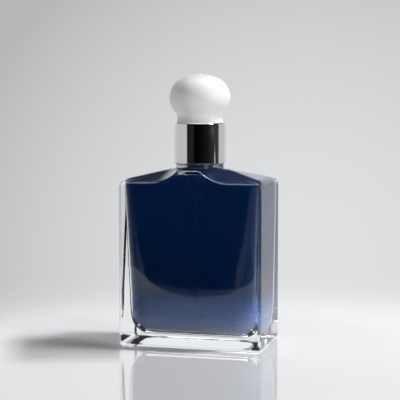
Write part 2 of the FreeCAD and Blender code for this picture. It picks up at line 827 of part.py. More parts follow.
def make_return_spring():
    """Wire coil between the spring ledge and the foot of the stem."""
    wire = d.spring_wire.number
    radius = d.spring_diameter.number / 2
    turns = int(d.spring_turns.number)
    bottom = ledge_top.number + wire / 2 + d.seat_gap.number
    top = foot_under.number - wire / 2 - d.seat_gap.number
    climb = (top - bottom) / (2 * math.pi * turns)

    def place(angle):
        return FreeCAD.Vector(radius * math.cos(angle), radius * math.sin(angle), bottom + climb * angle)

    def heading(angle):
        way = FreeCAD.Vector(-radius * math.sin(angle), radius * math.cos(angle), climb)
        return way.normalize()

    edges = []
    for half in range(2 * turns):
        begin = math.pi * half
        finish = begin + math.pi
        edges += biarc(place(begin), heading(begin), place(finish), heading(finish))
    path = Part.Wire(edges)
    section = Part.Wire(Part.Circle(place(0), heading(0), wire / 2).toShape())
    spring = doc.addObject("Part::Feature", "return_spring")
    spring.Shape = path.makePipeShell([section], True, False)
    print(f"return spring: least gap to itself {coil_gap(path, wire, turns):.2f} mm")
    return spring


def make_ferrule():
    """Metal cup, crimped under the glass bead, that clamps the pump to the neck."""
    lip = neck_radius + d.crimp_gap
    crimp_top = bead_under - d.seat_gap
    tower_outer = tower_inner + d.ferrule_wall
    hole = nose_radius + d.fit_gap
    return turned_body("ferrule", [
        (lip, crimp_top - d.ferrule_wall),
        (ferrule_outer, crimp_top - d.ferrule_wall),
        (ferrule_outer, flange_top + d.ferrule_wall),
        (tower_outer, flange_top + d.ferrule_wall),
        (tower_outer, tower_top),
        (hole, tower_top),
        (hole, guide_top),
        (tower_inner, guide_top),
        (tower_inner, flange_top),
        (ferrule_inner, flange_top),
        (ferrule_inner, crimp_top),
        (lip, crimp_top),
    ])


def make_collar_liner():
    """Plastic sleeve inside the collar, with ribs that grip the ferrule and a mouth for the knob."""
    body = turned_body("collar_liner", [
        (sleeve_inner, boss_top),
        (sleeve_outer, boss_top),
        (sleeve_outer, liner_top),
        (mouth_radius, liner_top),
        (mouth_radius, mouth_under - d.mouth_floor),
        (sleeve_inner, mouth_under - d.mouth_floor),
    ])
    grip = ferrule_outer + d.fit_gap
    rib_top = mouth_under - d.mouth_floor
    outline = sketch_on(body, "XZ_Plane", "rib_outline")
    draw(outline, [
        (grip, rib_top - d.rib_height),
        (sleeve_inner + d.sleeve_wall / 2, rib_top - d.rib_height),
        (sleeve_inner + d.sleeve_wall / 2, rib_top + d.mouth_floor / 2),
        (mouth_radius + d.fit_gap, rib_top + d.mouth_floor / 2),
        (grip, rib_top),
    ])
    rib = body.newObject("PartDesign::Pad", "collar_liner_rib")
    rib.Profile = outline
    rib.SideType = "Symmetric"
    rib.setExpression("Length", d.rib_width.text)
    doc.recompute()
    repeat_round(body, rib, d.rib_count)
    return body


def make_collar_shell():
    """Bright metal collar with a turned-in lip on top."""
    inner = collar_radius - d.collar_wall
    lip = mouth_radius + d.collar_lip_step
    return turned_body("collar_shell", [
        (inner, collar_under),
        (collar_radius, collar_under),
        (collar_radius, collar_top - d.collar_edge, d.collar_edge, "left"),
        (collar_radius - d.collar_edge, collar_top),
        (lip, collar_top),
        (lip, liner_top),
        (inner, liner_top),
    ])


def make_button_core():
    """Plastic button: stem socket below, channel and pocket for the nozzle in front."""
    skirt = d.button_skirt_bore / 2
    socket = stem_radius + d.slide_gap
    channel = d.button_channel / 2
    body = turned_body("button_core", [
        (0, nozzle_level + channel),
        (channel, nozzle_level + channel),
        (channel, stem_socket_top),
        (socket, stem_socket_top),
        (socket, skirt_top),
        (skirt, skirt_top),
        (skirt, button_under),
        (core_radius, button_under),
        (core_radius, core_top - d.button_dish),
        (0, core_top - d.button_dish),
    ])
    feed = sketch_on(body, "XZ_Plane", "feed")
    draw_circle(feed, nozzle_level, d.button_feed)
    cut_through(body, "feed_channel", feed, side="One side", reverse=True)
    pocket = sketch_on(body, "XZ_Plane", "pocket", nozzle_back)
    draw_circle(pocket, nozzle_level, d.nozzle_diameter + 2 * d.fit_gap)
    cut_through(body, "nozzle_pocket", pocket, side="One side", reverse=True)
    return body


def make_button_shell():
    """Metal shell over the button, dished for the fingertip, with a window for the nozzle."""
    inner = button_radius - d.button_shell_wall
    dish_edge = button_radius - 2 * d.button_edge
    dish_radius = (dish_edge * dish_edge + d.button_dish * d.button_dish) / (2 * d.button_dish)
    body = turned_body("button_shell", [
        (inner, button_under),
        (button_radius, button_under),
        (button_radius, button_top - d.button_edge, d.button_edge, "left"),
        (button_radius - d.button_edge, button_top),
        (dish_edge, button_top, dish_radius, "right"),
        (0, button_top - d.button_dish),
        (0, core_top - d.button_dish),
        (inner, core_top - d.button_dish),
    ])
    window = sketch_on(body, "XZ_Plane", "window")
    draw_circle(window, nozzle_level, d.nozzle_window)
    cut_through(body, "nozzle_window", window, side="One side", reverse=True)
    return body


def make_nozzle_insert():
    """Cup-shaped nozzle, turned about its own axis and set facing the front."""
    swirl = d.nozzle_swirl / 2
    orifice = d.nozzle_orifice / 2
    mouth = d.nozzle_cone / 2
    body = turned_body("nozzle_insert", [
        (swirl, 0),
        (nozzle_radius, 0),
        (nozzle_radius, d.nozzle_length),
        (mouth, d.nozzle_length),
        (orifice, d.nozzle_length - d.nozzle_face / 2),
        (orifice, d.nozzle_length - d.nozzle_face),
        (swirl, d.nozzle_length - d.nozzle_face),
    ])
    body.Placement = FreeCAD.Placement(FreeCAD.Vector(), FreeCAD.Rotation(FreeCAD.Vector(1, 0, 0), 90))
    body.setExpression("Placement.Base.y", (-nozzle_back).text)
    body.setExpression("Placement.Base.z", nozzle_level.text)
    doc.recompute()
    return body


def make_cap_knob():
    """White knob: a flattened ball on a waisted foot, with a socket for the liner."""
    widest = d.knob_diameter / 2
    flank = d.knob_crown - d.knob_flatness
    flank_at = widest - flank
    waist_level = collar_top + d.knob_waist_height
    equator = waist_level + d.knob_rise
    crown_round = d.knob_crown * d.knob_crown + flank_at * flank_at - flank * flank
    crown_round = crown_round / (2 * d.knob_flatness)
    crown_at = equator + d.knob_crown - crown_round
    crown_share = crown_round / (crown_round - flank)
    waist = d.knob_waist / 2
    reach = waist - flank_at
    waist_round = reach * reach + d.knob_rise * d.knob_rise - flank * flank
    waist_round = waist_round / (2 * (flank - reach))
    waist_share = flank / (flank + waist_round)
    foot_drop = waist_level - cap_under
    foot_round = (d.knob_flare * d.knob_flare + foot_drop * foot_drop) / (2 * d.knob_flare)
    pip = d.pip_diameter / 2
    pip_level = crown_at + root(crown_round * crown_round - pip * pip)
    socket = cap_sleeve_radius + d.fit_gap
    return turned_body("cap_knob", [
        (socket, cap_under),
        (waist + d.knob_flare, cap_under, foot_round, "right"),
        (waist, waist_level, waist_round, "right"),
        (flank_at + (reach + waist_round) * waist_share, equator - d.knob_rise * waist_share, flank,
         "left"),
        (flank_at * crown_share, crown_at + (equator - crown_at) * crown_share, crown_round, "left"),
        (pip, pip_level),
        (pip, pip_level + d.pip_height),
        (0, pip_level + d.pip_height),
        (0, cap_roof_top),
        (socket, cap_roof_top),
    ])


def make_cap_liner():
    """Plastic sleeve of the knob: a closed cup over the button with grip beads below."""
    body = turned_body("cap_liner", [
        (cap_sleeve_inner, sleeve_under),
        (cap_sleeve_radius, sleeve_under),
        (cap_sleeve_radius, cap_roof_top),
        (0, cap_roof_top),
        (0, cap_roof_under),
        (cap_sleeve_inner, cap_roof_under),
    ])
    outline = sketch_on(body, "XZ_Plane", "bead_outline")
    bead_at = sleeve_under + (d.cap_sleeve_drop - d.grip_height) / 2
    draw(outline, [
        (cap_sleeve_radius - d.cap_sleeve_wall / 2, bead_at),
        (cap_sleeve_radius, bead_at),
        (cap_sleeve_radius + d.grip_proud, bead_at + d.grip_width),
        (cap_sleeve_radius + d.grip_proud, bead_at + d.grip_height - d.grip_width),
        (cap_sleeve_radius, bead_at + d.grip_height),
        (cap_sleeve_radius - d.cap_sleeve_wall / 2, bead_at + d.grip_height),
    ])
    bead = body.newObject("PartDesign::Pad", "cap_liner_bead")
    bead.Profile = outline
    bead.SideType = "Symmetric"
    bead.setExpression("Length", d.grip_width.text)
    doc.recompute()
    repeat_round(body, bead, d.grip_count)
    return body


MAKERS = (
    make_glass_bottle,
    make_liquid,
    make_neck_gasket,
    make_pump_housing,
    make_dip_tube,
    make_inlet_ball,
    make_return_spring,
    make_piston,
    make_stem,
    make_stem_guide,
    make_ferrule,
    make_collar_liner,
    make_collar_shell,
    make_button_core,
    make_button_shell,
    make_nozzle_insert,
    make_cap_knob,
    make_cap_liner,
)


def check(pieces):
    """Stops the build if any feature failed or a piece is not one valid solid."""
    for item in doc.Objects:
        if any(word in item.State for word in ("Invalid", "Error")):
            raise RuntimeError(f"{item.Name} failed: {item.State}")
    for piece in pieces:
        shape = piece.Shape
        if shape.isNull() or not shape.isValid() or len(shape.Solids) != 1:
            raise RuntimeError(f"{piece.Label} is not one valid solid")


pieces = [make() for make in MAKERS]
doc.recompute()
check(pieces)
os.makedirs("parts", exist_ok=True)
for piece in pieces:
    piece.Shape.exportStep(f"parts/{piece.Label}.step")
    print(f"{piece.Label}: {piece.Shape.Volume:.1f} mm3")
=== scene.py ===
import logging
import math
from dataclasses import dataclass, field
from enum import Enum
from functools import cache
from typing import Any, Sequence

import bmesh
import bpy
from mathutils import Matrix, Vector


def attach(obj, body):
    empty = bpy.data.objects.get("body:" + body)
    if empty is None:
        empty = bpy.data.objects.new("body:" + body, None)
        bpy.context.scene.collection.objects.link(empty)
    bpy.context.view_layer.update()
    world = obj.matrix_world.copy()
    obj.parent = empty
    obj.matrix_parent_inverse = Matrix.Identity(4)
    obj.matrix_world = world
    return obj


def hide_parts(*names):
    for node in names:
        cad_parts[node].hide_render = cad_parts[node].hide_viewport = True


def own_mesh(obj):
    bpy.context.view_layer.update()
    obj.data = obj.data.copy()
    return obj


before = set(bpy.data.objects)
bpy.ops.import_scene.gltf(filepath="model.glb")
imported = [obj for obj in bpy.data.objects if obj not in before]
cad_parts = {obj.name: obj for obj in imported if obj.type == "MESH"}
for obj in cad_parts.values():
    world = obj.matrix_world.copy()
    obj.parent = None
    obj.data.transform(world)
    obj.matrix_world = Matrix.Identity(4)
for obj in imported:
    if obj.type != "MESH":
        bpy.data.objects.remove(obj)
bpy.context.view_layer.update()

# Looks of the aftershave bottle. The sub-assemblies give their sizes in millimetres, and the finishes,
# table, lamps and camera in metres, as meshes do. Angles are in degrees, and tones are shares of white.

MM = 0.001
WELD = 1e-7
SHARP_DEG = 35.0
FLAT_WEIGHT = 90
GLASS_IOR = 1.5
LIQUID_IOR = 1.36
PHOTO_SIDE = 400
PHOTO_TURN = 14.908
UP = Vector((0.0, 0.0, 1.0))

PathPoint = tuple[float, float]
Span = tuple[float, float]
Colour = tuple[float, float, float, float]
Loops = list[list[Vector]]
Socket = bpy.types.NodeSocket

WHITE: Colour = (1.0, 1.0, 1.0, 1.0)

log = logging.getLogger("aftershave_bottle")


class Turn(Enum):
    """Which way an arc of a turned outline bends, seen along the drawing direction."""

    LEFT = 1.0
    RIGHT = -1.0


class FaceSlot(Enum):
    """Material slot of a face: the piece's main finish, glass against the filling, glass under the base."""

    MAIN = 0
    WET = 1
    FOOT = 2


class Grain(Enum):
    """How many finer layers a noise pattern has."""

    BROAD = 2.0
    FINE = 3.0
    CLOUDED = 4.0


def towards(turn: float, lift: float) -> Vector:
    """Gives a direction from the bottle.

    Args:
        turn: degrees to the right of the camera, as the camera sees it.
        lift: degrees above the horizon.

    Returns:
        The unit vector.
    """
    angle = math.radians(PHOTO_TURN + turn)
    up = math.radians(lift)
    return Vector((math.sin(angle) * math.cos(up), -math.cos(angle) * math.cos(up), math.sin(up)))


def quarter_turn(steps: int) -> list[float]:
    """Gives the angles of a quarter circle in radians, from nought to a right angle."""
    return [math.pi / 2 * step / steps for step in range(steps + 1)]


class Bench:
    """Adds and joins the nodes of one node tree."""

    PATTERN_DARK = 0.3
    PATTERN_LIGHT = 0.7

    def __init__(self, tree: bpy.types.NodeTree) -> None:
        """Keeps the tree that the nodes go into."""
        self.tree = tree

    def add(self, kind: str, inputs: dict[Any, Any] | None = None, **options: Any) -> bpy.types.Node:
        """Adds one node.

        Args:
            kind: the node's type name.
            inputs: a value, or the output that feeds it, for each socket by name or number.
            options: the node's own settings.

        Returns:
            The new node.
        """
        node = self.tree.nodes.new(kind)
        for name, value in options.items():
            setattr(node, name, value)
        for name, value in (inputs or {}).items():
            if isinstance(value, Socket):
                self.tree.links.new(value, node.inputs[name])
            else:
                node.inputs[name].default_value = value
        return node

    def shader(self, kind: str, inputs: dict[Any, Any] | None = None) -> Socket:
        """Adds a shader and gives its output."""
        return self.add(kind, inputs).outputs[0]

    def cover(self, share: Socket, under: Socket, over: Socket) -> Socket:
        """Lays a share of one shader over another."""
        return self.shader("ShaderNodeMixShader", {0: share, 1: under, 2: over})

    def noise(self, scale: float, grain: Grain, place: Socket) -> Socket:
        """Adds a noise pattern.

        Args:
            scale: waves per metre.
            grain: how fine it is.
            place: the coordinates that it follows.

        Returns:
            The grey value of the pattern.
        """
        node = self.add("ShaderNodeTexNoise", {"Vector": place, "Scale": scale, "Detail": grain.value})
        return node.outputs["Fac"]

    def bump(self, value: Socket, strength: float, depth: float) -> Socket:
        """Turns a grey value into relief.

        Args:
            value: the height pattern.
            strength: how much of the relief shows.
            depth: height of the pattern in metres.

        Returns:
            The disturbed normal.
        """
        node = self.add("ShaderNodeBump", {"Height": value, "Strength": strength, "Distance": depth})
        return node.outputs["Normal"]

    def tint(self, share: Socket, low: Colour, high: Colour) -> Socket:
        """Goes from one colour to another with a share, on the sockets that a mix has for colours."""
        return self.add("ShaderNodeMix", {0: share, 6: low, 7: high}, data_type="RGBA").outputs[2]

    def ramp(self, value: Socket, start: float, end: float, low: Any, high: Any) -> Socket:
        """Goes from one number to another while a value runs through a range.

        Args:
            value: the value.
            start: where the range starts.
            end: where it ends.
            low: the number or output at the start.
            high: the number or output at the end.

        Returns:
            The number in between.
        """
        node = self.add("ShaderNodeMapRange", {"Value": value, "From Min": start, "From Max": end,
                                               "To Min": low, "To Max": high})
        return node.outputs["Result"]

    def spread(self, value: Socket, low: float, high: float) -> Socket:
        """Stretches the usual greys of a pattern onto a range."""
        return self.ramp(value, self.PATTERN_DARK, self.PATTERN_LIGHT, low, high)

    def fade(self, value: Socket, span: Span) -> Socket:
        """Goes from 0 to 1 while a value runs through a span."""
        return self.ramp(value, *span, 0.0, 1.0)

    def blend(self, share: Socket, low: Any, high: Any) -> Socket:
        """Goes from one number or output to another with a share."""
        return self.ramp(share, 0.0, 1.0, low, high)

    def maths(self, operation: str, *values: Any) -> Socket:
        """Adds one sum.

        Args:
            operation: the name of the sum.
            values: its one to three numbers or outputs.

        Returns:
            The result.
        """
        node = self.add("ShaderNodeMath", dict(enumerate(values)), operation=operation)
        return node.outputs["Value"]

    def times(self, first: Socket, second: Any) -> Socket:
        """Multiplies an output by another or by a number."""
        return self.maths("MULTIPLY", first, second)

    def rest(self, share: Socket) -> Socket:
        """Gives what a share leaves of the whole."""
        return self.maths("SUBTRACT", 1.0, share)

    def apart(self, value: Socket, place: float) -> Socket:
        """Gives how far a value is from a place on its scale."""
        return self.maths("ABSOLUTE", self.maths("SUBTRACT", value, place))

    def degrees(self, operation: str, *values: Any) -> Socket:
        """Adds one sum whose result is an angle, and gives it in degrees."""
        return self.times(self.maths(operation, *values), 180 / math.pi)

    def dot(self, way: Socket, axis: Vector) -> Socket:
        """Measures a place or direction along an axis."""
        node = self.add("ShaderNodeVectorMath", {0: way, 1: axis}, operation="DOT_PRODUCT")
        return node.outputs["Value"]


@dataclass(frozen=True)
class Finish:
    """What a surface is made of."""

    name: str

    @cache
    def material(self) -> bpy.types.Material:
        """Makes the finish's material on its first use.

        Returns:
            The material, the same one each time.
        """
        made = bpy.data.materials.new(self.name)
        made.use_nodes = True
        made.node_tree.nodes.clear()
        bench = Bench(made.node_tree)
        place = bench.add("ShaderNodeTexCoord").outputs["Object"]
        bench.add("ShaderNodeOutputMaterial", self.lay(bench, place))
        return made

    def lay(self, bench: Bench, place: Socket) -> dict[str, Socket]:
        """Lays the finish's nodes.

        Args:
            bench: where the nodes go.
            place: object coordinates.

        Returns:
            What feeds each input of the material's output.
        """
        raise NotImplementedError


@dataclass(frozen=True)
class Glass(Finish):
    """Polished glass with a faint ripple from its mould."""

    ior: float = GLASS_IOR
    lamp_share: Colour = WHITE
    ripple: float = 0.02
    ripple_scale: float = 45.0
    ripple_depth: float = 0.0006
    haze_scale: float = 900.0
    haze_rough: float = 0.012

    def lay(self, bench: Bench, place: Socket) -> dict[str, Socket]:
        """Lays clear glass that lets its share of the lamps' light straight through.

        Args:
            bench: where the nodes go.
            place: object coordinates.

        Returns:
            The surface.
        """
        waves = bench.noise(self.ripple_scale, Grain.BROAD, place)
        haze = bench.noise(self.haze_scale, Grain.FINE, place)
        body = bench.shader("ShaderNodeBsdfPrincipled", {
            "Base Color": WHITE,
            "Roughness": bench.spread(haze, 0.0, self.haze_rough),
            "IOR": self.ior,
            "Transmission Weight": 1.0,
            "Normal": bench.bump(waves, self.ripple, self.ripple_depth),
        })
        lamp_way = bench.shader("ShaderNodeBsdfTransparent", {"Color": self.lamp_share})
        shadow = bench.add("ShaderNodeLightPath").outputs["Is Shadow Ray"]
        return {"Surface": bench.cover(shadow, body, lamp_way)}


@dataclass(frozen=True)
class Filling(Finish):
    """Coloured liquid that darkens with its depth, with a faint haze against the glass and a painted
    reflection of the bright table that is palest low down at the heel.
    """

    colour: Colour = (0.02, 0.3, 0.5, 1.0)
    density: float = 420.0
    haze: Colour = (0.02, 0.2, 0.85, 1.0)
    haze_share: float = 0.045
    # Colour, share and height span of the painted reflection of the table at the heel.
    heel_painted_reflection: Colour = (0.42, 0.5, 0.7, 1.0)
    heel_reflection_share: float = 0.67
    heel_reflection_span: Span = (0.025, 0.006)
    skin_ior: float = 1.3
    skin_scale: float = 60.0
    skin_smooth: float = 0.02
    skin_rough: float = 0.05
    pump_radius: float = 0.005

    def lay(self, bench: Bench, place: Socket) -> dict[str, Socket]:
        """Lays a body of absorbing liquid whose outside mirrors a little of the surroundings.

        Args:
            bench: where the nodes go.
            place: object coordinates.

        Returns:
            The surface and the volume.
        """
        across, along, height = bench.add("ShaderNodeSeparateXYZ", {"Vector": place}).outputs
        square = bench.maths("MULTIPLY_ADD", across, across, bench.times(along, along))
        outside = bench.maths("GREATER_THAN", bench.maths("SQRT", square), self.pump_radius)
        # Painted reflection: towards the heel the diffuse haze turns paler and stronger, standing in for the
        # bright table mirrored there.
        heel = bench.fade(height, self.heel_reflection_span)
        cloud = bench.shader("ShaderNodeBsdfDiffuse", {"Color": bench.tint(heel, self.haze, self.heel_painted_reflection)})
        share = bench.blend(heel, self.haze_share, self.heel_reflection_share)
        clear = bench.shader("ShaderNodeBsdfTransparent")
        inside = bench.cover(bench.times(share, outside), clear, cloud)
        waves = bench.noise(self.skin_scale, Grain.BROAD, place)
        gloss = bench.spread(waves, self.skin_smooth, self.skin_rough)
        sheen = bench.shader("ShaderNodeBsdfGlossy", {"Roughness": gloss})
        mirror = bench.add("ShaderNodeFresnel", {"IOR": self.skin_ior}).outputs["Fac"]
        behind = bench.add("ShaderNodeNewGeometry").outputs["Backfacing"]
        front = bench.times(bench.rest(behind), outside)
        skin = bench.cover(bench.times(mirror, front), inside, sheen)
        depth = bench.shader("ShaderNodeVolumeAbsorption", {"Color": self.colour, "Density": self.density})
        return {"Surface": skin, "Volume": depth}


@dataclass(frozen=True)
class Metal(Finish):
    """Metal with drawn or polished grain."""

    colour: Colour = (0.86, 0.86, 0.87, 1.0)
    smooth: float = 0.03
    rough: float = 0.07
    grain: float = 0.01
    grain_scale: float = 160.0
    grain_drawn: float = 40.0
    grain_depth: float = 0.0001
    cloud_scale: float = 120.0

    def lay(self, bench: Bench, place: Socket) -> dict[str, Socket]:
        """Lays metal whose gloss wavers with handling and whose grain runs round the neck.

        Args:
            bench: where the nodes go.
            place: object coordinates.

        Returns:
            The surface.
        """
        cloud = bench.noise(self.cloud_scale, Grain.CLOUDED, place)
        drawn = bench.add("ShaderNodeMapping", {"Vector": place, "Scale": (1.0, 1.0, self.grain_drawn)})
        lines = bench.noise(self.grain_scale, Grain.FINE, drawn.outputs["Vector"])
        return {"Surface": bench.shader("ShaderNodeBsdfPrincipled", {
            "Base Color": self.colour,
            "Metallic": 1.0,
            "Roughness": bench.spread(cloud, self.smooth, self.rough),
            "Normal": bench.bump(lines, self.grain, self.grain_depth),
        })}


@dataclass(frozen=True)
class Moulding(Finish):
    """Moulded or lacquered plastic."""

    light: Colour
    dark: Colour
    smooth: float
    rough: float
    peel: float = 0.05
    peel_scale: float = 1400.0
    peel_depth: float = 0.0002
    cloud_scale: float = 70.0
    shine: float = 0.5

    def lay(self, bench: Bench, place: Socket) -> dict[str, Socket]:
        """Lays plastic with a slight cloud of tone and the fine peel of its skin.

        Args:
            bench: where the nodes go.
            place: object coordinates.

        Returns:
            The surface.
        """
        cloud = bench.noise(self.cloud_scale, Grain.FINE, place)
        peel = bench.noise(self.peel_scale, Grain.BROAD, place)
        return {"Surface": bench.shader("ShaderNodeBsdfPrincipled", {
            "Base Color": bench.tint(bench.spread(cloud, 0.0, 1.0), self.dark, self.light),
            "Roughness": bench.spread(peel, self.smooth, self.rough),
            "Specular IOR Level": self.shine,
            "Normal": bench.bump(peel, self.peel, self.peel_depth),
        })}


@dataclass(frozen=True)
class PaleFloor(Finish):
    """Pale glossy table top that fades out into the background, with painted shade that darkens it towards
    the camera.
    """

    far_tone: float = 0.96
    # Painted shade: the darker colour of the table near the camera, and the span over which it darkens.
    shaded_near_tone: float = 0.9
    painted_shade_ahead: Span = (0.02, 0.085)
    dust_scale: float = 30.0
    smooth: float = 0.03
    rough: float = 0.06
    ior: float = 1.5
    coat: float = 0.45
    coat_rough: float = 0.03
    middle_ahead: float = 0.05
    fade_away: Span = (0.09, 0.2)
    fade_ahead: Span = (0.112, 0.162)

    def lay(self, bench: Bench, place: Socket) -> dict[str, Socket]:
        """Lays a table top that is see-through beyond its soft edge.

        Args:
            bench: where the nodes go.
            place: object coordinates.

        Returns:
            The surface.
        """
        dust = bench.noise(self.dust_scale, Grain.FINE, place)
        ahead = bench.dot(place, towards(0.0, 0.0))
        # Painted shade: the base colour darkens from the far tone to the near tone towards the camera.
        top = bench.shader("ShaderNodeBsdfPrincipled", {
            "Base Color": bench.ramp(ahead, *self.painted_shade_ahead, self.far_tone, self.shaded_near_tone),
            "Roughness": bench.spread(dust, self.smooth, self.rough),
            "IOR": self.ior,
            "Coat Weight": self.coat,
            "Coat Roughness": self.coat_rough,
        })
        gap = bench.shader("ShaderNodeBsdfTransparent")
        middle = towards(0.0, 0.0) * self.middle_ahead
        away = bench.add("ShaderNodeVectorMath", {0: place, 1: middle}, operation="DISTANCE")
        start, end = self.fade_away
        fade = bench.add("ShaderNodeMapRange", {
            "Value": away.outputs["Value"], "From Min": start, "From Max": end,
        }, interpolation_type="SMOOTHERSTEP")
        gone = bench.maths("MAXIMUM", fade.outputs["Result"], bench.fade(ahead, self.fade_ahead))
        return {"Surface": bench.cover(gone, top, gap)}


CLEAR_GLASS = Glass("flint_glass")
WET_GLASS = Glass("wet_glass", ior=GLASS_IOR / LIQUID_IOR)
FOOT_GLASS = Glass("foot_glass", lamp_share=(0.03, 0.035, 0.045, 1.0))
NAVY_FILLING = Filling("navy_filling")
BRIGHT_METAL = Metal("mirror_plate")
SHEET_METAL = Metal("sheet_metal", colour=(0.8, 0.8, 0.82, 1.0), smooth=0.22, rough=0.34, grain=0.1)
SPRING_STEEL = Metal("spring_steel", colour=(0.6, 0.6, 0.61, 1.0), smooth=0.16, rough=0.28, grain=0.05)
WHITE_LACQUER = Moulding("white_lacquer", light=(0.87, 0.87, 0.86, 1.0), dark=(0.84, 0.84, 0.835, 1.0),
                         smooth=0.4, rough=0.48, peel=0.03, shine=0.3)
NATURAL_PLASTIC = Moulding("milky_plastic", light=(0.84, 0.85, 0.85, 1.0), dark=(0.76, 0.77, 0.78, 1.0),
                           smooth=0.34, rough=0.5)
SMOKE_PLASTIC = Moulding("smoke_plastic", light=(0.016, 0.03, 0.07, 1.0), dark=(0.01, 0.02, 0.05, 1.0),
                         smooth=0.34, rough=0.5)
BLACK_PLASTIC = Moulding("dark_plastic", light=(0.02, 0.02, 0.022, 1.0), dark=(0.012, 0.012, 0.014, 1.0),
                         smooth=0.3, rough=0.42)
SOFT_GREY = Moulding("gasket_foam", light=(0.55, 0.55, 0.56, 1.0), dark=(0.48, 0.48, 0.49, 1.0),
                     smooth=0.6, rough=0.75, peel=0.15)
PALE_FLOOR = PaleFloor("pale_floor")


class Profile:
    """An outline of radii and heights for a turned piece, drawn from point to point."""

    def __init__(self, radius: float, height: float) -> None:
        """Starts the outline."""
        self.points: list[PathPoint] = [(radius, height)]

    def line(self, radius: float, height: float) -> "Profile":
        """Draws a straight run to a point and returns the outline."""
        self.points.append((radius, height))
        return self

    def bend(self, radius: float, height: float, curve: float, turn: Turn, steps: int) -> "Profile":
        """Draws an arc of under half a circle.

        Args:
            radius: radius of the piece where the arc ends.
            height: height where it ends.
            curve: radius of the arc itself.
            turn: which way it bends.
            steps: how many facets it gets.

        Returns:
            The outline, for the next run.
        """
        start = Vector(self.points[-1])
        end = Vector((radius, height))
        chord = end - start
        reach = math.sqrt(max(curve * curve - chord.length_squared / 4, 0.0)) * turn.value
        centre = (start + end) / 2 + Vector((-chord.y, chord.x)).normalized() * reach
        first = math.atan2(start.y - centre.y, start.x - centre.x)
        sweep = 2 * math.asin(min(chord.length / (2 * curve), 1.0)) * turn.value
        for step in range(1, steps + 1):
            angle = first + sweep * step / steps
            self.points.append((centre.x + curve * math.cos(angle), centre.y + curve * math.sin(angle)))
        return self


def plain_object(name: str, mesh: bpy.types.Mesh) -> bpy.types.Object:
    """Puts a mesh in the scene.

    Args:
        name: the object's name.
        mesh: its mesh, already in place.

    Returns:
        The object, at the origin.
    """
    piece = bpy.data.objects.new(name, mesh)
    bpy.context.scene.collection.objects.link(piece)
    return piece


def bake(piece: bpy.types.Object) -> bpy.types.Mesh:
    """Puts what a piece's modifiers make into its mesh and removes them.

    Args:
        piece: the object with live modifiers.

    Returns:
        Its new mesh.
    """
    seen = piece.evaluated_get(bpy.context.evaluated_depsgraph_get())
    mesh = bpy.data.meshes.new_from_object(seen)
    mesh.name = piece.name
    piece.modifiers.clear()
    piece.data = mesh
    return mesh


def shade(mesh: bpy.types.Mesh, sharp_deg: float) -> None:
    """Shades a mesh smooth, apart from the edges that turn by more than an angle."""
    mesh.shade_smooth()
    mesh.set_sharp_from_angle(angle=math.radians(sharp_deg))


def settle(piece: bpy.types.Object) -> None:
    """Turns a piece with live modifiers into a plain, closed, smooth mesh.

    Args:
        piece: the object to settle.
    """
    mesh = bake(piece)
    shell = bmesh.new()
    shell.from_mesh(mesh)
    bmesh.ops.remove_doubles(shell, verts=shell.verts, dist=WELD)
    bmesh.ops.recalc_face_normals(shell, faces=shell.faces)
    for face in shell.faces:
        face.material_index = FaceSlot.MAIN.value
    shell.to_mesh(mesh)
    shell.free()
    shade(mesh, SHARP_DEG)


def weigh_normals(piece: bpy.types.Object) -> bpy.types.Object:
    """Keeps the flats of a smooth piece flat next to their narrow roundings.

    Args:
        piece: a plain mesh object.

    Returns:
        The same object, with its normals stored in the mesh.
    """
    weigh = piece.modifiers.new("flat_faces", "WEIGHTED_NORMAL")
    weigh.keep_sharp = True
    weigh.weight = FLAT_WEIGHT
    bake(piece)
    return piece


def slab(name: str, side: Sequence[PathPoint], width: float) -> bpy.types.Mesh:
    """Makes a small block from its side view.

    Args:
        name: the mesh's name.
        side: its outline of radii and heights.
        width: its width across.

    Returns:
        The block, ahead on the X axis.
    """
    count = len(side)
    spots = [(r * MM, y * width / 2 * MM, z * MM) for y in (-1, 1) for r, z in side]
    faces = [tuple(range(count)), tuple(range(2 * count - 1, count - 1, -1))]
    for here in range(count):
        there = (here + 1) % count
        faces.append((here, here + count, there + count, there))
    mesh = bpy.data.meshes.new(name)
    mesh.from_pydata(spots, [], faces)
    return mesh


class GrownTree:
    """A geometry tree with named inputs that ends in plain geometry of one material."""

    def __init__(self, name: str, sizes: Sequence[tuple[str, str]]) -> None:
        """Makes the tree's inputs.

        Args:
            name: the tree's name.
            sizes: name and socket type of each input.
        """
        self.tree = bpy.data.node_groups.new(name, "GeometryNodeTree")
        self.tree.is_modifier = True
        self.sockets: dict[str, str] = {}
        face = self.tree.interface
        face.new_socket("Geometry", in_out="INPUT", socket_type="NodeSocketGeometry")
        for label, kind in (*sizes, ("Material", "NodeSocketMaterial")):
            self.sockets[label] = face.new_socket(label, in_out="INPUT", socket_type=kind).identifier
        face.new_socket("Geometry", in_out="OUTPUT", socket_type="NodeSocketGeometry")
        self.bench = Bench(self.tree)
        self.given = self.bench.add("NodeGroupInput").outputs

    def close(self, geometry: Socket) -> None:
        """Ends the tree in real geometry with its material.

        Args:
            geometry: what the tree has made.
        """
        real = self.bench.add("GeometryNodeRealizeInstances", {"Geometry": geometry})
        dressed = self.bench.add("GeometryNodeSetMaterial", {
            "Geometry": real.outputs["Geometry"], "Material": self.given["Material"]})
        self.bench.add("NodeGroupOutput", {"Geometry": dressed.outputs["Geometry"]})

    def grow(self, name: str, start: bpy.types.Mesh, finish: Finish, **sizes: float) -> bpy.types.Object:
        """Makes a piece with the tree.

        Args:
            name: the piece's name.
            start: the geometry that goes in.
            finish: what the piece is made of.
            sizes: a number for each input, with _ for a space.

        Returns:
            The piece as a plain mesh.
        """
        piece = plain_object(name, start)
        grown = piece.modifiers.new(self.tree.name, "NODES")
        grown.node_group = self.tree
        for label, value in sizes.items():
            grown[self.sockets[label.replace("_", " ")]] = value
        grown[self.sockets["Material"]] = finish.material()
        settle(piece)
        piece.data.materials.clear()
        piece.data.materials.append(finish.material())
        return piece


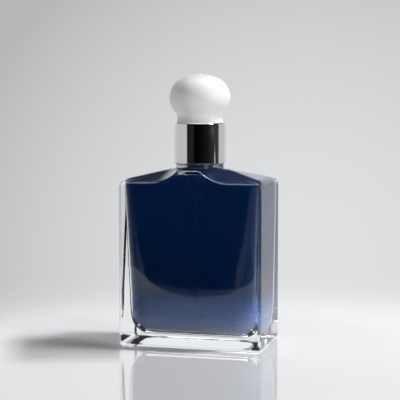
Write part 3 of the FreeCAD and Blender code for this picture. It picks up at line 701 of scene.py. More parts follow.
class Lathe(GrownTree):
    """Sweeps an outline of radii and heights round the upright axis."""

    PATH = 0.02
    FACETS = 160
    FINE_FACETS = 240

    def __init__(self) -> None:
        """Lays the tree: outline to curve, round a circle, seams closed."""
        super().__init__("turned_piece", [("Facets", "NodeSocketInt"), ("Path", "NodeSocketFloat")])
        outline = self.bench.add("GeometryNodeMeshToCurve", {"Mesh": self.given["Geometry"]})
        path = self.bench.add("GeometryNodeCurvePrimitiveCircle", {
            "Resolution": self.given["Facets"], "Radius": self.given["Path"]})
        swept = self.bench.add("GeometryNodeCurveToMesh", {
            "Curve": path.outputs["Curve"], "Profile Curve": outline.outputs["Curve"]})
        closed = self.bench.add("GeometryNodeMergeByDistance", {
            "Geometry": swept.outputs["Mesh"], "Distance": WELD})
        self.close(closed.outputs["Geometry"])

    def turn(self, name: str, profile: Profile, finish: Finish, facets: int = FACETS) -> bpy.types.Object:
        """Turns one piece.

        Args:
            name: the piece's name.
            profile: its outline; one that leaves the axis is closed to a ring.
            finish: what it is made of.
            facets: flats round the piece.

        Returns:
            The turned piece.
        """
        spots = [(r * MM - self.PATH, -z * MM, 0.0) for r, z in profile.points]
        runs = [(i, i + 1) for i in range(len(spots) - 1)]
        if profile.points[0][0] > 0.0:
            runs.append((len(spots) - 1, 0))
        outline = bpy.data.meshes.new(name)
        outline.from_pydata(spots, runs, [])
        return self.grow(name, outline, finish, Facets=facets, Path=self.PATH)


class RoundRow(GrownTree):
    """Repeats a small form round the upright axis."""

    def __init__(self) -> None:
        """Lays the tree: one turned instance for each count."""
        super().__init__("round_row", [("Count", "NodeSocketInt")])
        spots = self.bench.add("GeometryNodePoints", {"Count": self.given["Count"]})
        number = self.bench.add("GeometryNodeInputIndex").outputs["Index"]
        share = self.bench.maths("DIVIDE", number, self.given["Count"])
        angle = self.bench.maths("MULTIPLY", share, math.tau)
        turned = self.bench.add("ShaderNodeCombineXYZ", {"Z": angle})
        row = self.bench.add("GeometryNodeInstanceOnPoints", {
            "Points": spots.outputs["Points"], "Instance": self.given["Geometry"],
            "Rotation": turned.outputs["Vector"]})
        self.close(row.outputs["Instances"])


class WireCoil(GrownTree):
    """Winds a round wire into an upright coil."""

    TURN_STEPS = 48
    WIRE_SIDES = 16

    def __init__(self) -> None:
        """Lays the tree: a spiral, lifted into place and given its wire."""
        super().__init__("wire_coil", [
            ("Turns", "NodeSocketFloat"), ("Radius", "NodeSocketFloat"), ("Wire", "NodeSocketFloat"),
            ("Foot", "NodeSocketFloat"), ("Length", "NodeSocketFloat")])
        line = self.bench.add("GeometryNodeCurveSpiral", {
            "Resolution": self.TURN_STEPS, "Rotations": self.given["Turns"],
            "Start Radius": self.given["Radius"], "End Radius": self.given["Radius"],
            "Height": self.given["Length"]})
        lift = self.bench.add("ShaderNodeCombineXYZ", {"Z": self.given["Foot"]})
        placed = self.bench.add("GeometryNodeTransform", {
            "Geometry": line.outputs["Curve"], "Translation": lift.outputs["Vector"]})
        section = self.bench.add("GeometryNodeCurvePrimitiveCircle", {
            "Resolution": self.WIRE_SIDES, "Radius": self.given["Wire"]})
        wound = self.bench.add("GeometryNodeCurveToMesh", {
            "Curve": placed.outputs["Geometry"], "Profile Curve": section.outputs["Curve"],
            "Fill Caps": True})
        self.close(wound.outputs["Mesh"])


@dataclass
class Workshop:
    """The geometry trees that several sub-assemblies share."""

    lathe: Lathe = field(default_factory=Lathe)
    row: RoundRow = field(default_factory=RoundRow)
    coil: WireCoil = field(default_factory=WireCoil)


def seat(piece: bpy.types.Object, body: str, slot: str, *nodes: str) -> None:
    """Lets a piece ride on a body in place of its nodes and reports it.

    Args:
        piece: the finished piece.
        body: the body that carries it.
        slot: the name of a material slot; not used.
        nodes: the nodes that it stands for.
    """
    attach(piece, body)
    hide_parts(*nodes)
    faces = len(piece.data.polygons)
    log.info("%s rides on %s for %s, %d faces", piece.name, body, ", ".join(nodes), faces)


def dress(node: str, finish: Finish) -> None:
    """Gives a node that keeps its own shape a finish and reports it.

    Args:
        node: the node's name.
        finish: what it is made of.
    """
    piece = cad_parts[node]
    for holder in piece.material_slots:
        holder.material = finish.material()
    log.info("%s keeps its shape in %s", node, finish.name)


@dataclass
class Flacon:
    """The heavy glass and its filling."""

    width: float = 65.0
    depth: float = 40.0
    side_height: float = 75.0
    shoulder_rise: float = 4.6
    deck_half: float = 13.0
    deck_blend: float = 8.0
    shoulder_round: float = 4.0
    brow_drop: float = 1.0
    brow_flat: float = 18.0
    brow_tip: float = 5.0
    brow_pitch: float = 0.28
    brow_round: float = 1.0
    foot_round: float = 2.0
    edge_round: float = 1.6
    base_rim: float = 7.0
    base_hollow: float = 0.8
    hollow_round: float = 0.35
    side_wall: float = 1.8
    front_wall: float = 3.2
    base_thick: float = 4.6
    roof_wall: float = 1.4
    roof_round: float = 1.4
    throat_radius: float = 8.4
    throat_rise: float = 3.6
    cavity_draft: float = 1.2
    corner_top: float = 3.5
    corner_low: float = 9.0
    heel_wide: float = 7.0
    heel_flat: float = 1.2
    heel_rise: float = 18.0
    boss_radius: float = 10.75
    boss_height: float = 2.2
    boss_fillet: float = 1.2
    boss_edge: float = 0.5
    neck_radius: float = 6.5
    neck_height: float = 7.6
    bead_radius: float = 7.5
    bead_height: float = 3.2
    bead_round: float = 0.8
    bore_radius: float = 4.8
    fill_drop: float = 0.6
    fill_gap: float = 0.1
    inside_share: float = 0.9
    corner_least: float = 0.3
    roof_melt: float = 0.5
    bore_edge: float = 0.3
    bare_bore: float = 0.5
    housing_radius: float = 4.5
    housing_under: float = 73.1
    nose_radius: float = 2.8
    nose_top: float = 69.9
    nose_under: float = 61.9
    tube_radius: float = 1.6
    tube_above: float = 1.4
    filling_sharp: float = 50.0
    side_points: int = 12
    corner_points: int = 14
    front_points: int = 22
    roof_rings: int = 40
    round_rings: int = 8
    heel_rings: int = 18
    wall_rings: int = 8
    throat_rings: int = 10
    pocket_rings: int = 4

    @property
    def deck(self) -> float:
        """Height of the flat deck."""
        return self.side_height + self.shoulder_rise

    @property
    def step_top(self) -> float:
        """Height of the round step that the collar stands over."""
        return self.deck + self.boss_height

    @property
    def level(self) -> float:
        """Height of the filling."""
        return self.step_top - self.fill_drop

    @property
    def quarter(self) -> int:
        """Points of a loop in each quarter."""
        return self.side_points + self.corner_points + self.front_points

    def loop(self, half_wide: float, half_deep: float, corner: float, height: float,
             counted: bool = False) -> list[Vector]:
        """Draws a level outline with rounded corners.

        Args:
            half_wide: half its width.
            half_deep: half its depth.
            corner: radius of its corners.
            height: its height.
            counted: whether sides and corners get fixed counts of points, or points are spread evenly.

        Returns:
            Its points in millimetres, counted from the right.
        """
        rise = half_deep - corner
        arc = corner * math.pi / 2
        run = half_wide - corner
        whole = rise + arc + run
        count = self.quarter

        def along(step: float) -> float:
            """Finds how far along the first quarter a point lies.

            Args:
                step: the point's number.

            Returns:
                Its distance from the start.
            """
            if not counted:
                return whole * step / count
            if step <= self.side_points:
                return rise * step / self.side_points
            step -= self.side_points
            if step <= self.corner_points:
                return rise + arc * step / self.corner_points
            return rise + arc + run * (step - self.corner_points) / self.front_points

        def spot(way: float) -> PathPoint:
            """Finds a point of the first quarter.

            Args:
                way: its distance along the quarter.

            Returns:
                Its places across and from front to back.
            """
            if way <= rise:
                return half_wide, way
            if way < rise + arc:
                angle = (way - rise) / corner
                return half_wide - corner * (1 - math.cos(angle)), rise + corner * math.sin(angle)
            return whole - way, half_deep

        points = []
        for number in range(4 * count):
            side, step = divmod(number, count)
            x, y = spot(along(count - step if side % 2 else step))
            points.append(Vector((x if side in (0, 3) else -x, y if side < 2 else -y, height)))
        return points

    def circle(self, radius: float, height: float) -> list[Vector]:
        """Draws a level circle with the same count of points."""
        return self.loop(radius, radius, radius, height)

    def roof(self, x: float, y: float) -> float:
        """Gives the height of the glass roof.

        Args:
            x: place across the front.
            y: place from front to back.

        Returns:
            The lower of the long side slopes and the short front slopes with their raised middle.
        """
        across = abs(x)
        run = self.width / 2 - self.deck_half
        lean = self.shoulder_rise / run
        slope = self.deck - lean * (across - self.deck_half)
        soft = self.deck_blend * lean / 2
        bend = min(max((across - self.deck_half + soft) / (2 * soft), 0.0), 1.0)
        ridge = self.deck if bend == 0.0 else slope if bend == 1.0 else self.deck - lean * soft * bend * bend
        edge = self.side_height - self.brow_drop
        reach = self.brow_flat - self.brow_tip
        lift = self.deck - edge
        sweep = (reach * reach + lift * lift) / (2 * lift)
        inner = min(max(self.brow_flat - across, 0.0), sweep)
        brow = edge + sweep - math.sqrt(sweep * sweep - inner * inner)
        brow += self.brow_pitch * (self.depth / 2 - abs(y))
        gap = ridge - brow
        melt = self.roof_melt
        if abs(gap) >= melt:
            return min(ridge, brow)
        return (ridge + brow) / 2 - (gap * gap / melt + melt) / 4

    def outside(self) -> Loops:
        """Draws the outside of the glass below the neck.

        Returns:
            The loops from the foot of the round step over the roof down to the base.
        """
        half_wide = self.width / 2
        half_deep = self.depth / 2
        plan = self.loop(half_wide, half_deep, self.edge_round, 0.0, True)
        ring = self.circle(self.boss_radius + self.boss_fillet, self.deck)
        loops = self.canopy(ring, plan, self.edge_round, self.rounds(), 0.0)
        for angle in quarter_turn(self.round_rings):
            drawn = self.foot_round * (1 - math.cos(angle))
            height = self.foot_round * (1 - math.sin(angle))
            corner = max(self.edge_round - drawn, self.corner_least)
            loops.append(self.loop(half_wide - drawn, half_deep - drawn, corner, height, True))
        return loops

    def canopy(self, ring: list[Vector], plan: list[Vector], corner: float, rounds: list[float],
               under: float) -> Loops:
        """Draws the loops of a roof and of the rounding at its rim.

        Args:
            ring: the round loop that the roof starts from.
            plan: the outline that it reaches.
            corner: radius of the plan's corners.
            rounds: radius of the rim rounding at each point.
            under: how far below the outside of the glass the roof lies.

        Returns:
            The loops, the last of which is the top of the wall.
        """
        start = math.atan(self.brow_pitch)
        wide = max(p.x for p in plan) - corner
        deep = max(p.y for p in plan) - corner

        def drawn_in(angle: float) -> list[Vector]:
            """Draws the plan in by what the rounding takes.

            Args:
                angle: how far round the rounding has come, in radians.

            Returns:
                The loop.
            """
            points = []
            for place, turn in zip(plan, rounds):
                core = Vector((max(min(place.x, wide), -wide), max(min(place.y, deep), -deep), place.z))
                points.append(place - (place - core).normalized() * turn * (1 - math.sin(angle)))
            return points

        rim = drawn_in(start)
        loops = []
        for step in range(1, self.roof_rings + 1):
            loop = [near.lerp(far, step / self.roof_rings) for near, far in zip(ring, rim)]
            loops.append([Vector((p.x, p.y, self.roof(p.x, p.y) - under)) for p in loop])
        tops = [p.z for p in loops[-1]]
        for step in range(1, self.round_rings + 1):
            angle = start + (math.pi / 2 - start) * step / self.round_rings
            loops.append([Vector((p.x, p.y, top + turn * (math.cos(angle) - math.cos(start))))
                          for p, top, turn in zip(drawn_in(angle), tops, rounds)])
        return loops

    def rounds(self) -> list[float]:
        """Sizes the rounding at the rim of the roof: large on the sides, small on the front.

        Returns:
            Its radius at each point of a loop.
        """
        count = self.quarter
        radii = []
        for number in range(4 * count):
            part, step = divmod(number, count)
            step = count - step if part % 2 else step
            turn = min(max((step - self.side_points) / self.corner_points, 0.0), 1.0)
            radii.append(self.shoulder_round + (self.brow_round - self.shoulder_round) * turn)
        return radii

    def hollow(self, inset: float) -> Loops:
        """Draws the loops of the hollow for the filling.

        Args:
            inset: how far inside the glass they run.

        Returns:
            The loops from the level of the filling down to the floor.
        """
        widest = self.width / 2 - self.side_wall - inset
        deepest = self.depth / 2 - self.front_wall - inset
        narrow = widest - self.cavity_draft
        heel = self.depth / 2 - self.front_wall - self.heel_flat
        floor = self.base_thick + inset
        under = self.roof_wall + inset
        wide = self.throat_radius - self.bore_radius
        loops = []
        for step in range(self.throat_rings + 1):
            height = self.level + (self.deck - under - self.level) * step / self.throat_rings
            share = (height - self.deck + under) / self.throat_rise
            radius = self.bore_radius + wide * (1 - math.sqrt(max(1 - (1 - share) ** 2, 0.0)))
            loops.append(self.circle(radius - inset, height))
        plan = self.loop(widest, deepest, self.corner_top, 0.0)
        rounds = [self.roof_round] * len(plan)
        loops += self.canopy(loops[-1], plan, self.corner_top, rounds, under)
        walls = loops[-1]
        for step in range(1, self.wall_rings):
            share = step / self.wall_rings
            half_wide = widest - self.cavity_draft * share
            corner = self.corner_top + (self.corner_low - self.corner_top) * share
            loop = self.loop(half_wide, deepest, corner, floor + self.heel_rise)
            loops.append([Vector((p.x, p.y, top.z + (p.z - top.z) * share)) for p, top in zip(loop, walls)])
        for angle in reversed(quarter_turn(self.heel_rings)):
            rise = self.heel_rise * (1 - math.cos(angle))
            left = self.heel_wide - min(rise, self.heel_wide)
            half_wide = narrow - self.heel_wide + math.sqrt(self.heel_wide ** 2 - left ** 2)
            half_deep = deepest - heel * (1 - math.sin(angle))
            corner = min(self.corner_low, half_deep * self.inside_share)
            loops.append(self.loop(half_wide, half_deep, corner, floor + rise))
        return loops

    def neck(self) -> Loops:
        """Draws the round step, the neck, its bead and its bore.

        Returns:
            The loops from the deck over the rim down to just above the filling.
        """
        step_top = self.step_top
        rim = step_top + self.neck_height
        under = rim - self.bead_height
        turned = Profile(self.boss_radius + self.boss_fillet, self.deck)
        turned.bend(self.boss_radius, self.deck + self.boss_fillet, self.boss_fillet, Turn.RIGHT, steps=8)
        turned.line(self.boss_radius, step_top - self.boss_edge)
        turned.bend(self.boss_radius - self.boss_edge, step_top, self.boss_edge, Turn.LEFT, steps=6)
        turned.line(self.neck_radius, step_top).line(self.neck_radius, under)
        turned.line(self.bead_radius - self.bead_round, under)
        turned.bend(self.bead_radius, under + self.bead_round, self.bead_round, Turn.LEFT, steps=6)
        turned.line(self.bead_radius, rim - self.bead_round)
        turned.bend(self.bead_radius - self.bead_round, rim, self.bead_round, Turn.LEFT, steps=6)
        turned.line(self.bore_radius + self.bore_edge, rim)
        turned.bend(self.bore_radius, rim - self.bore_edge, self.bore_edge, Turn.LEFT, steps=4)
        turned.line(self.bore_radius, self.level + self.bare_bore)
        return [self.circle(radius, height) for radius, height in turned.points]

    def pocket(self) -> Loops:
        """Draws the shallow hollow under the base.

        Returns:
            The loops from its roof out to the base.
        """
        wide = self.width / 2 - self.base_rim
        deep = self.depth / 2 - self.base_rim
        turn = self.hollow_round
        angles = quarter_turn(self.pocket_rings)
        levels = [(turn * (1 - math.sin(a)), turn * (1 - math.cos(a))) for a in angles]
        levels += [(-turn * (1 - math.cos(a)), self.base_hollow - turn * (1 - math.sin(a))) for a in angles]
        return [self.loop(wide + grow, deep + grow, self.base_rim + grow, z) for grow, z in reversed(levels)]

    def pump_room(self) -> Loops:
        """Draws the room that pump and dip tube take up in the filling.

        Returns:
            The loops from the end of the tube up to the level of the filling.
        """
        spots = ((self.tube_radius, self.base_thick + self.tube_above), (self.tube_radius, self.nose_under),
                 (self.nose_radius, self.nose_under), (self.nose_radius, self.nose_top),
                 (self.housing_radius, self.housing_under), (self.housing_radius, self.level))
        return [self.circle(radius, height) for radius, height in spots]

    def skin(self, name: str, finishes: Sequence[Finish], sharp_deg: float,
             runs: Sequence[tuple[FaceSlot, Loops]]) -> bpy.types.Object:
        """Makes a closed piece from loops that follow one another.

        Args:
            name: the piece's name.
            finishes: its finishes in the order of their slots.
            sharp_deg: edges that turn by more than this stay sharp.
            runs: its loops in order, with the slot of the faces that start from them.

        Returns:
            The piece, closed flat at the first and the last loop.
        """
        body = bmesh.new()
        rows = [(slot, [body.verts.new(place * MM) for place in loop])
                for slot, loops in runs for loop in loops]
        patches = [rows[0], rows[-1]]
        for (slot, near), (_, far) in zip(rows, rows[1:]):
            for here in range(len(near)):
                there = (here + 1) % len(near)
                patches.append((slot, (near[here], near[there], far[there], far[here])))
        for slot, corners in patches:
            body.faces.new(corners).material_index = slot.value
        bmesh.ops.recalc_face_normals(body, faces=body.faces)
        mesh = bpy.data.meshes.new(name)
        body.to_mesh(mesh)
        body.free()
        for finish in finishes:
            mesh.materials.append(finish.material())
        shade(mesh, sharp_deg)
        return weigh_normals(plain_object(name, mesh))

    def build(self) -> None:
        """Makes the glass and its filling."""
        dry = list(reversed(self.outside())) + self.neck()
        runs = ((FaceSlot.FOOT, self.pocket()), (FaceSlot.MAIN, dry), (FaceSlot.WET, self.hollow(0.0)))
        glass = self.skin("flacon_glass", (CLEAR_GLASS, WET_GLASS, FOOT_GLASS), SHARP_DEG, runs)
        seat(glass, "bottle", "clear_glass", "glass_bottle")
        runs = ((FaceSlot.MAIN, self.pump_room() + self.hollow(self.fill_gap)),)
        liquid = self.skin("navy_liquid_body", (NAVY_FILLING,), self.filling_sharp, runs)
        seat(liquid, "bottle", "navy_liquid", "aftershave_liquid")


@dataclass
class Pump:
    """The crimped spray pump under the collar."""

    spring_turns: float = 7.0
    spring_radius: float = 2.3
    wire: float = 0.5
    ledge: float = 74.2
    foot: float = 83.75
    clear: float = 0.05
    travel: float = 4.5

    def build(self, shop: Workshop) -> None:
        """Winds the spring and dresses the other pieces.

        Args:
            shop: the shared geometry trees.
        """
        low = self.ledge + self.wire / 2 + self.clear
        high = self.foot - self.wire / 2 - self.clear
        start = bpy.data.meshes.new("return_spring_wire")
        coil = shop.coil.grow("return_spring_wire", start, SPRING_STEEL, Turns=self.spring_turns,
                              Radius=self.spring_radius * MM, Wire=self.wire / 2 * MM,
                              Foot=low * MM, Length=(high - low) * MM)
        seat(coil, "bottle", "steel", "return_spring")
        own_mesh(coil)
        for node in ("pump_housing", "dip_tube"):
            dress(node, SMOKE_PLASTIC)
        for node in ("piston", "stem", "stem_guide"):
            dress(node, NATURAL_PLASTIC)
        dress("neck_gasket", SOFT_GREY)
        dress("inlet_ball", SPRING_STEEL)
        dress("ferrule", SHEET_METAL)


@dataclass
class Collar:
    """The bright collar and the plastic liner that grips the ferrule."""

    step_top: float
    radius: float = 11.75
    wall: float = 0.55
    height: float = 18.1
    step_gap: float = 0.3
    edge: float = 0.4
    hem: float = 0.14
    lip: float = 9.0
    gap: float = 0.05
    liner_wall: float = 1.2
    mouth: float = 8.75
    mouth_depth: float = 7.0
    mouth_floor: float = 1.2
    mouth_edge: float = 0.25
    grip: float = 8.05
    rib_width: float = 1.0
    rib_height: float = 5.0
    rib_chamfer: float = 0.5
    rib_count: int = 12

    @property
    def under(self) -> float:
        """Height of the collar's lower edge."""
        return self.step_top + self.step_gap

    @property
    def top(self) -> float:
        """Height of the collar's top."""
        return self.under + self.height

    def build(self, shop: Workshop) -> None:
        """Turns the collar and its liner and sets the grip ribs.

        Args:
            shop: the shared geometry trees.
        """
        inner = self.radius - self.wall
        roof = self.top - self.wall
        shell = Profile(inner, self.under + self.hem)
        shell.bend(inner + self.hem, self.under, self.hem, Turn.LEFT, steps=4)
        shell.line(self.radius - self.hem, self.under)
        shell.bend(self.radius, self.under + self.hem, self.hem, Turn.LEFT, steps=4)
        shell.line(self.radius, self.top - self.edge)
        shell.bend(self.radius - self.edge, self.top, self.edge, Turn.LEFT, steps=8)
        shell.line(self.lip + self.hem, self.top)
        shell.bend(self.lip, self.top - self.hem, self.hem, Turn.LEFT, steps=4)
        shell.line(self.lip, roof).line(inner, roof)
        piece = shop.lathe.turn("collar_sleeve", shell, BRIGHT_METAL, Lathe.FINE_FACETS)
        seat(weigh_normals(piece), "bottle", "bright_metal", "collar_shell")
        outer = inner - self.gap
        bore = outer - self.liner_wall
        ring_under = roof - self.mouth_depth - self.mouth_floor
        liner = Profile(bore, self.step_top).line(outer, self.step_top).line(outer, roof)
        liner.line(self.mouth + self.mouth_edge, roof)
        liner.bend(self.mouth, roof - self.mouth_edge, self.mouth_edge, Turn.LEFT, steps=5)
        liner.line(self.mouth, ring_under).line(bore, ring_under)
        sleeve = shop.lathe.turn("collar_inner_sleeve", liner, BLACK_PLASTIC)
        seat(sleeve, "bottle", "black_plastic", "collar_liner")
        rib = self.rib(ring_under, bore)
        ribs = shop.row.grow("collar_grip_ribs", rib, BLACK_PLASTIC, Count=self.rib_count)
        seat(ribs, "bottle", "black_plastic", "collar_liner")

    def rib(self, top: float, outside: float) -> bpy.types.Mesh:
        """Makes one grip rib.

        Args:
            top: height of its upper end.
            outside: radius where it meets the sleeve.

        Returns:
            The rib, ahead on the X axis.
        """
        low = top - self.rib_height
        back = outside + self.liner_wall / 2
        side = [(self.grip, low + self.rib_chamfer), (self.grip + self.rib_chamfer, low),
                (back, low), (back, top), (self.grip, top)]
        return slab("collar_grip_rib", side, self.rib_width)


@dataclass
class SprayButton:
    """The button under the knob."""

    def build(self) -> None:
        """Dresses the button's three pieces."""
        dress("button_shell", BRIGHT_METAL)
        dress("button_core", BLACK_PLASTIC)
        dress("nozzle_insert", BLACK_PLASTIC)


@dataclass
class Knob:
    """The white knob and the sleeve that holds it on the collar."""

    collar_top: float
    gap: float = 0.05
    radius: float = 13.7
    crown: float = 10.5
    rise: float = 9.0
    flatness: float = 0.7
    waist: float = 10.15
    waist_height: float = 2.4
    flare: float = 0.45
    foot_edge: float = 0.25
    foot_trim: float = 0.1
    pip: float = 0.6
    pip_height: float = 0.4
    pip_foot: float = 0.3
    pip_lean: float = 0.15
    pip_flank: float = 0.24
    pip_fillet: float = 0.6
    pip_round: float = 0.55
    socket: float = 8.65
    socket_height: float = 13.4
    sleeve: float = 8.6
    sleeve_wall: float = 1.6
    sleeve_depth: float = 6.45
    sleeve_roof: float = 1.2
    sleeve_chamfer: float = 0.4
    lead_in: float = 0.5
    lead_height: float = 0.8
    bead_proud: float = 0.1
    bead_width: float = 1.2
    bead_height: float = 4.0
    bead_count: int = 6

    @property
    def under(self) -> float:
        """Height of the knob's foot."""
        return self.collar_top + self.gap

    @property
    def roof(self) -> float:
        """Height of the roof of the knob's socket."""
        return self.collar_top + self.socket_height

    @property
    def sleeve_under(self) -> float:
        """Height of the sleeve's lower end."""
        return self.collar_top - self.sleeve_depth

    def build(self, shop: Workshop) -> None:
        """Turns the knob and its sleeve and sets the grip beads.

        Args:
            shop: the shared geometry trees.
        """
        ball = shop.lathe.turn("cap_ball", self.outline(), WHITE_LACQUER, Lathe.FINE_FACETS)
        seat(weigh_normals(ball), "cap", "white_knob", "cap_knob")
        inner = self.sleeve - self.sleeve_wall
        inner_roof = self.roof - self.sleeve_roof
        low = self.sleeve_under
        cup = Profile(0.0, inner_roof).line(inner, inner_roof)
        cup.line(inner, low + self.sleeve_chamfer).line(inner + self.sleeve_chamfer, low)
        cup.line(self.sleeve - self.lead_in, low).line(self.sleeve, low + self.lead_height)
        cup.line(self.sleeve, self.roof).line(0.0, self.roof)
        sleeve = shop.lathe.turn("cap_sleeve", cup, NATURAL_PLASTIC)
        seat(sleeve, "cap", "natural_plastic", "cap_liner")
        beads = shop.row.grow("cap_grip_beads", self.bead(), NATURAL_PLASTIC, Count=self.bead_count)
        seat(beads, "cap", "natural_plastic", "cap_liner")

    def outline(self) -> Profile:
        """Draws the knob.

        Returns:
            The outline from the roof of its socket round the outside to its top.
        """
        flank = self.crown - self.flatness
        flank_at = self.radius - flank
        waist_level = self.collar_top + self.waist_height
        equator = waist_level + self.rise
        crown_round = (self.crown ** 2 + flank_at ** 2 - flank ** 2) / (2 * self.flatness)
        crown_at = equator + self.crown - crown_round
        crown_share = crown_round / (crown_round - flank)
        reach = self.waist - flank_at
        waist_round = (reach ** 2 + self.rise ** 2 - flank ** 2) / (2 * (flank - reach))
        waist_share = flank / (flank + waist_round)
        drop = waist_level - self.under
        foot = self.waist + self.flare - self.foot_trim
        foot_round = (self.flare ** 2 + drop ** 2) / (2 * self.flare)
        pip_level = crown_at + math.sqrt(crown_round ** 2 - self.pip ** 2)
        pip_from = self.pip + self.pip_foot
        edge = self.foot_edge
        line = Profile(0.0, self.roof).line(self.socket, self.roof).line(self.socket, self.under)
        line.line(foot - edge, self.under)
        line.bend(foot, self.under + edge, edge, Turn.LEFT, steps=5)
        line.bend(self.waist, waist_level, foot_round, Turn.RIGHT, steps=8)
        line.bend(flank_at + (reach + waist_round) * waist_share, equator - self.rise * waist_share,
                  waist_round, Turn.RIGHT, steps=14)
        line.bend(flank_at * crown_share, crown_at + (equator - crown_at) * crown_share,
                  flank, Turn.LEFT, steps=40)
        line.bend(pip_from, crown_at + math.sqrt(crown_round ** 2 - pip_from ** 2),
                  crown_round, Turn.LEFT, steps=16)
        line.bend(self.pip - self.pip_lean, pip_level + self.pip_flank, self.pip_fillet, Turn.RIGHT, steps=5)
        line.bend(0.0, pip_level + self.pip_height, self.pip_round, Turn.LEFT, steps=6)
        return line

    def bead(self) -> bpy.types.Mesh:
        """Makes one grip bead of the sleeve.

        Returns:
            The bead, ahead on the X axis.
        """
        low = self.sleeve_under + (self.under - self.sleeve_under - self.bead_height) / 2
        inside = self.sleeve - self.sleeve_wall / 2
        proud = self.sleeve + self.bead_proud
        high = low + self.bead_height
        side = [(inside, low), (self.sleeve, low), (proud, low + self.bead_width),
                (proud, high - self.bead_width), (self.sleeve, high), (inside, high)]
        return slab("cap_grip_bead", side, self.bead_width)


@dataclass(frozen=True)
class Lamp:
    """A soft panel that faces the bottle."""

    name: str
    turn: float
    lift: float
    away: float
    wide: float
    tall: float
    watts: float
    aim_height: float = 0.06

    def hang(self) -> None:
        """Hangs the panel in its direction from the bottle."""
        data = bpy.data.lights.new(self.name, "AREA")
        data.shape = "RECTANGLE"
        data.size = self.wide
        data.size_y = self.tall
        data.energy = self.watts
        place = towards(self.turn, self.lift) * self.away
        panel = bpy.data.objects.new(self.name, data)
        panel.location = place
        panel.rotation_euler = (UP * self.aim_height - place).to_track_quat("-Z", "Y").to_euler()
        bpy.context.scene.collection.objects.link(panel)


TOP_PANEL = Lamp("top_panel", turn=90.0, lift=63.5, away=1.0, wide=0.14, tall=0.14, watts=6.1)
SIDE_PANEL = Lamp("side_panel", turn=57.0, lift=11.5, away=1.2, wide=0.12, tall=0.1, watts=6.8)


class Outlook:
    """The direction in which the surroundings are seen."""

    def __init__(self, bench: Bench) -> None:
        """Measures the direction's degrees above the horizon and its part to the right of the camera.

        Args:
            bench: where the nodes go.
        """
        self.bench = bench
        self.way = bench.add("ShaderNodeTexCoord").outputs["Generated"]
        self.lift = bench.degrees("ARCSINE", bench.dot(self.way, UP))
        self.across = bench.dot(self.way, towards(90.0, 0.0))

    def off(self, turn: float, lift: float) -> Socket:
        """Gives its degrees away from another direction."""
        return self.bench.degrees("ARCCOSINE", self.bench.dot(self.way, towards(turn, lift)))

    def turn(self, middle: float) -> Socket:
        """Measures how far it is turned from the camera.

        Args:
            middle: a turn; the count jumps opposite to it.

        Returns:
            The degrees to the right of the camera.
        """
        ahead = self.bench.dot(self.way, towards(middle, 0.0))
        side = self.bench.dot(self.way, towards(middle + 90.0, 0.0))
        return self.bench.maths("ADD", self.bench.degrees("ARCTAN2", side, ahead), middle)


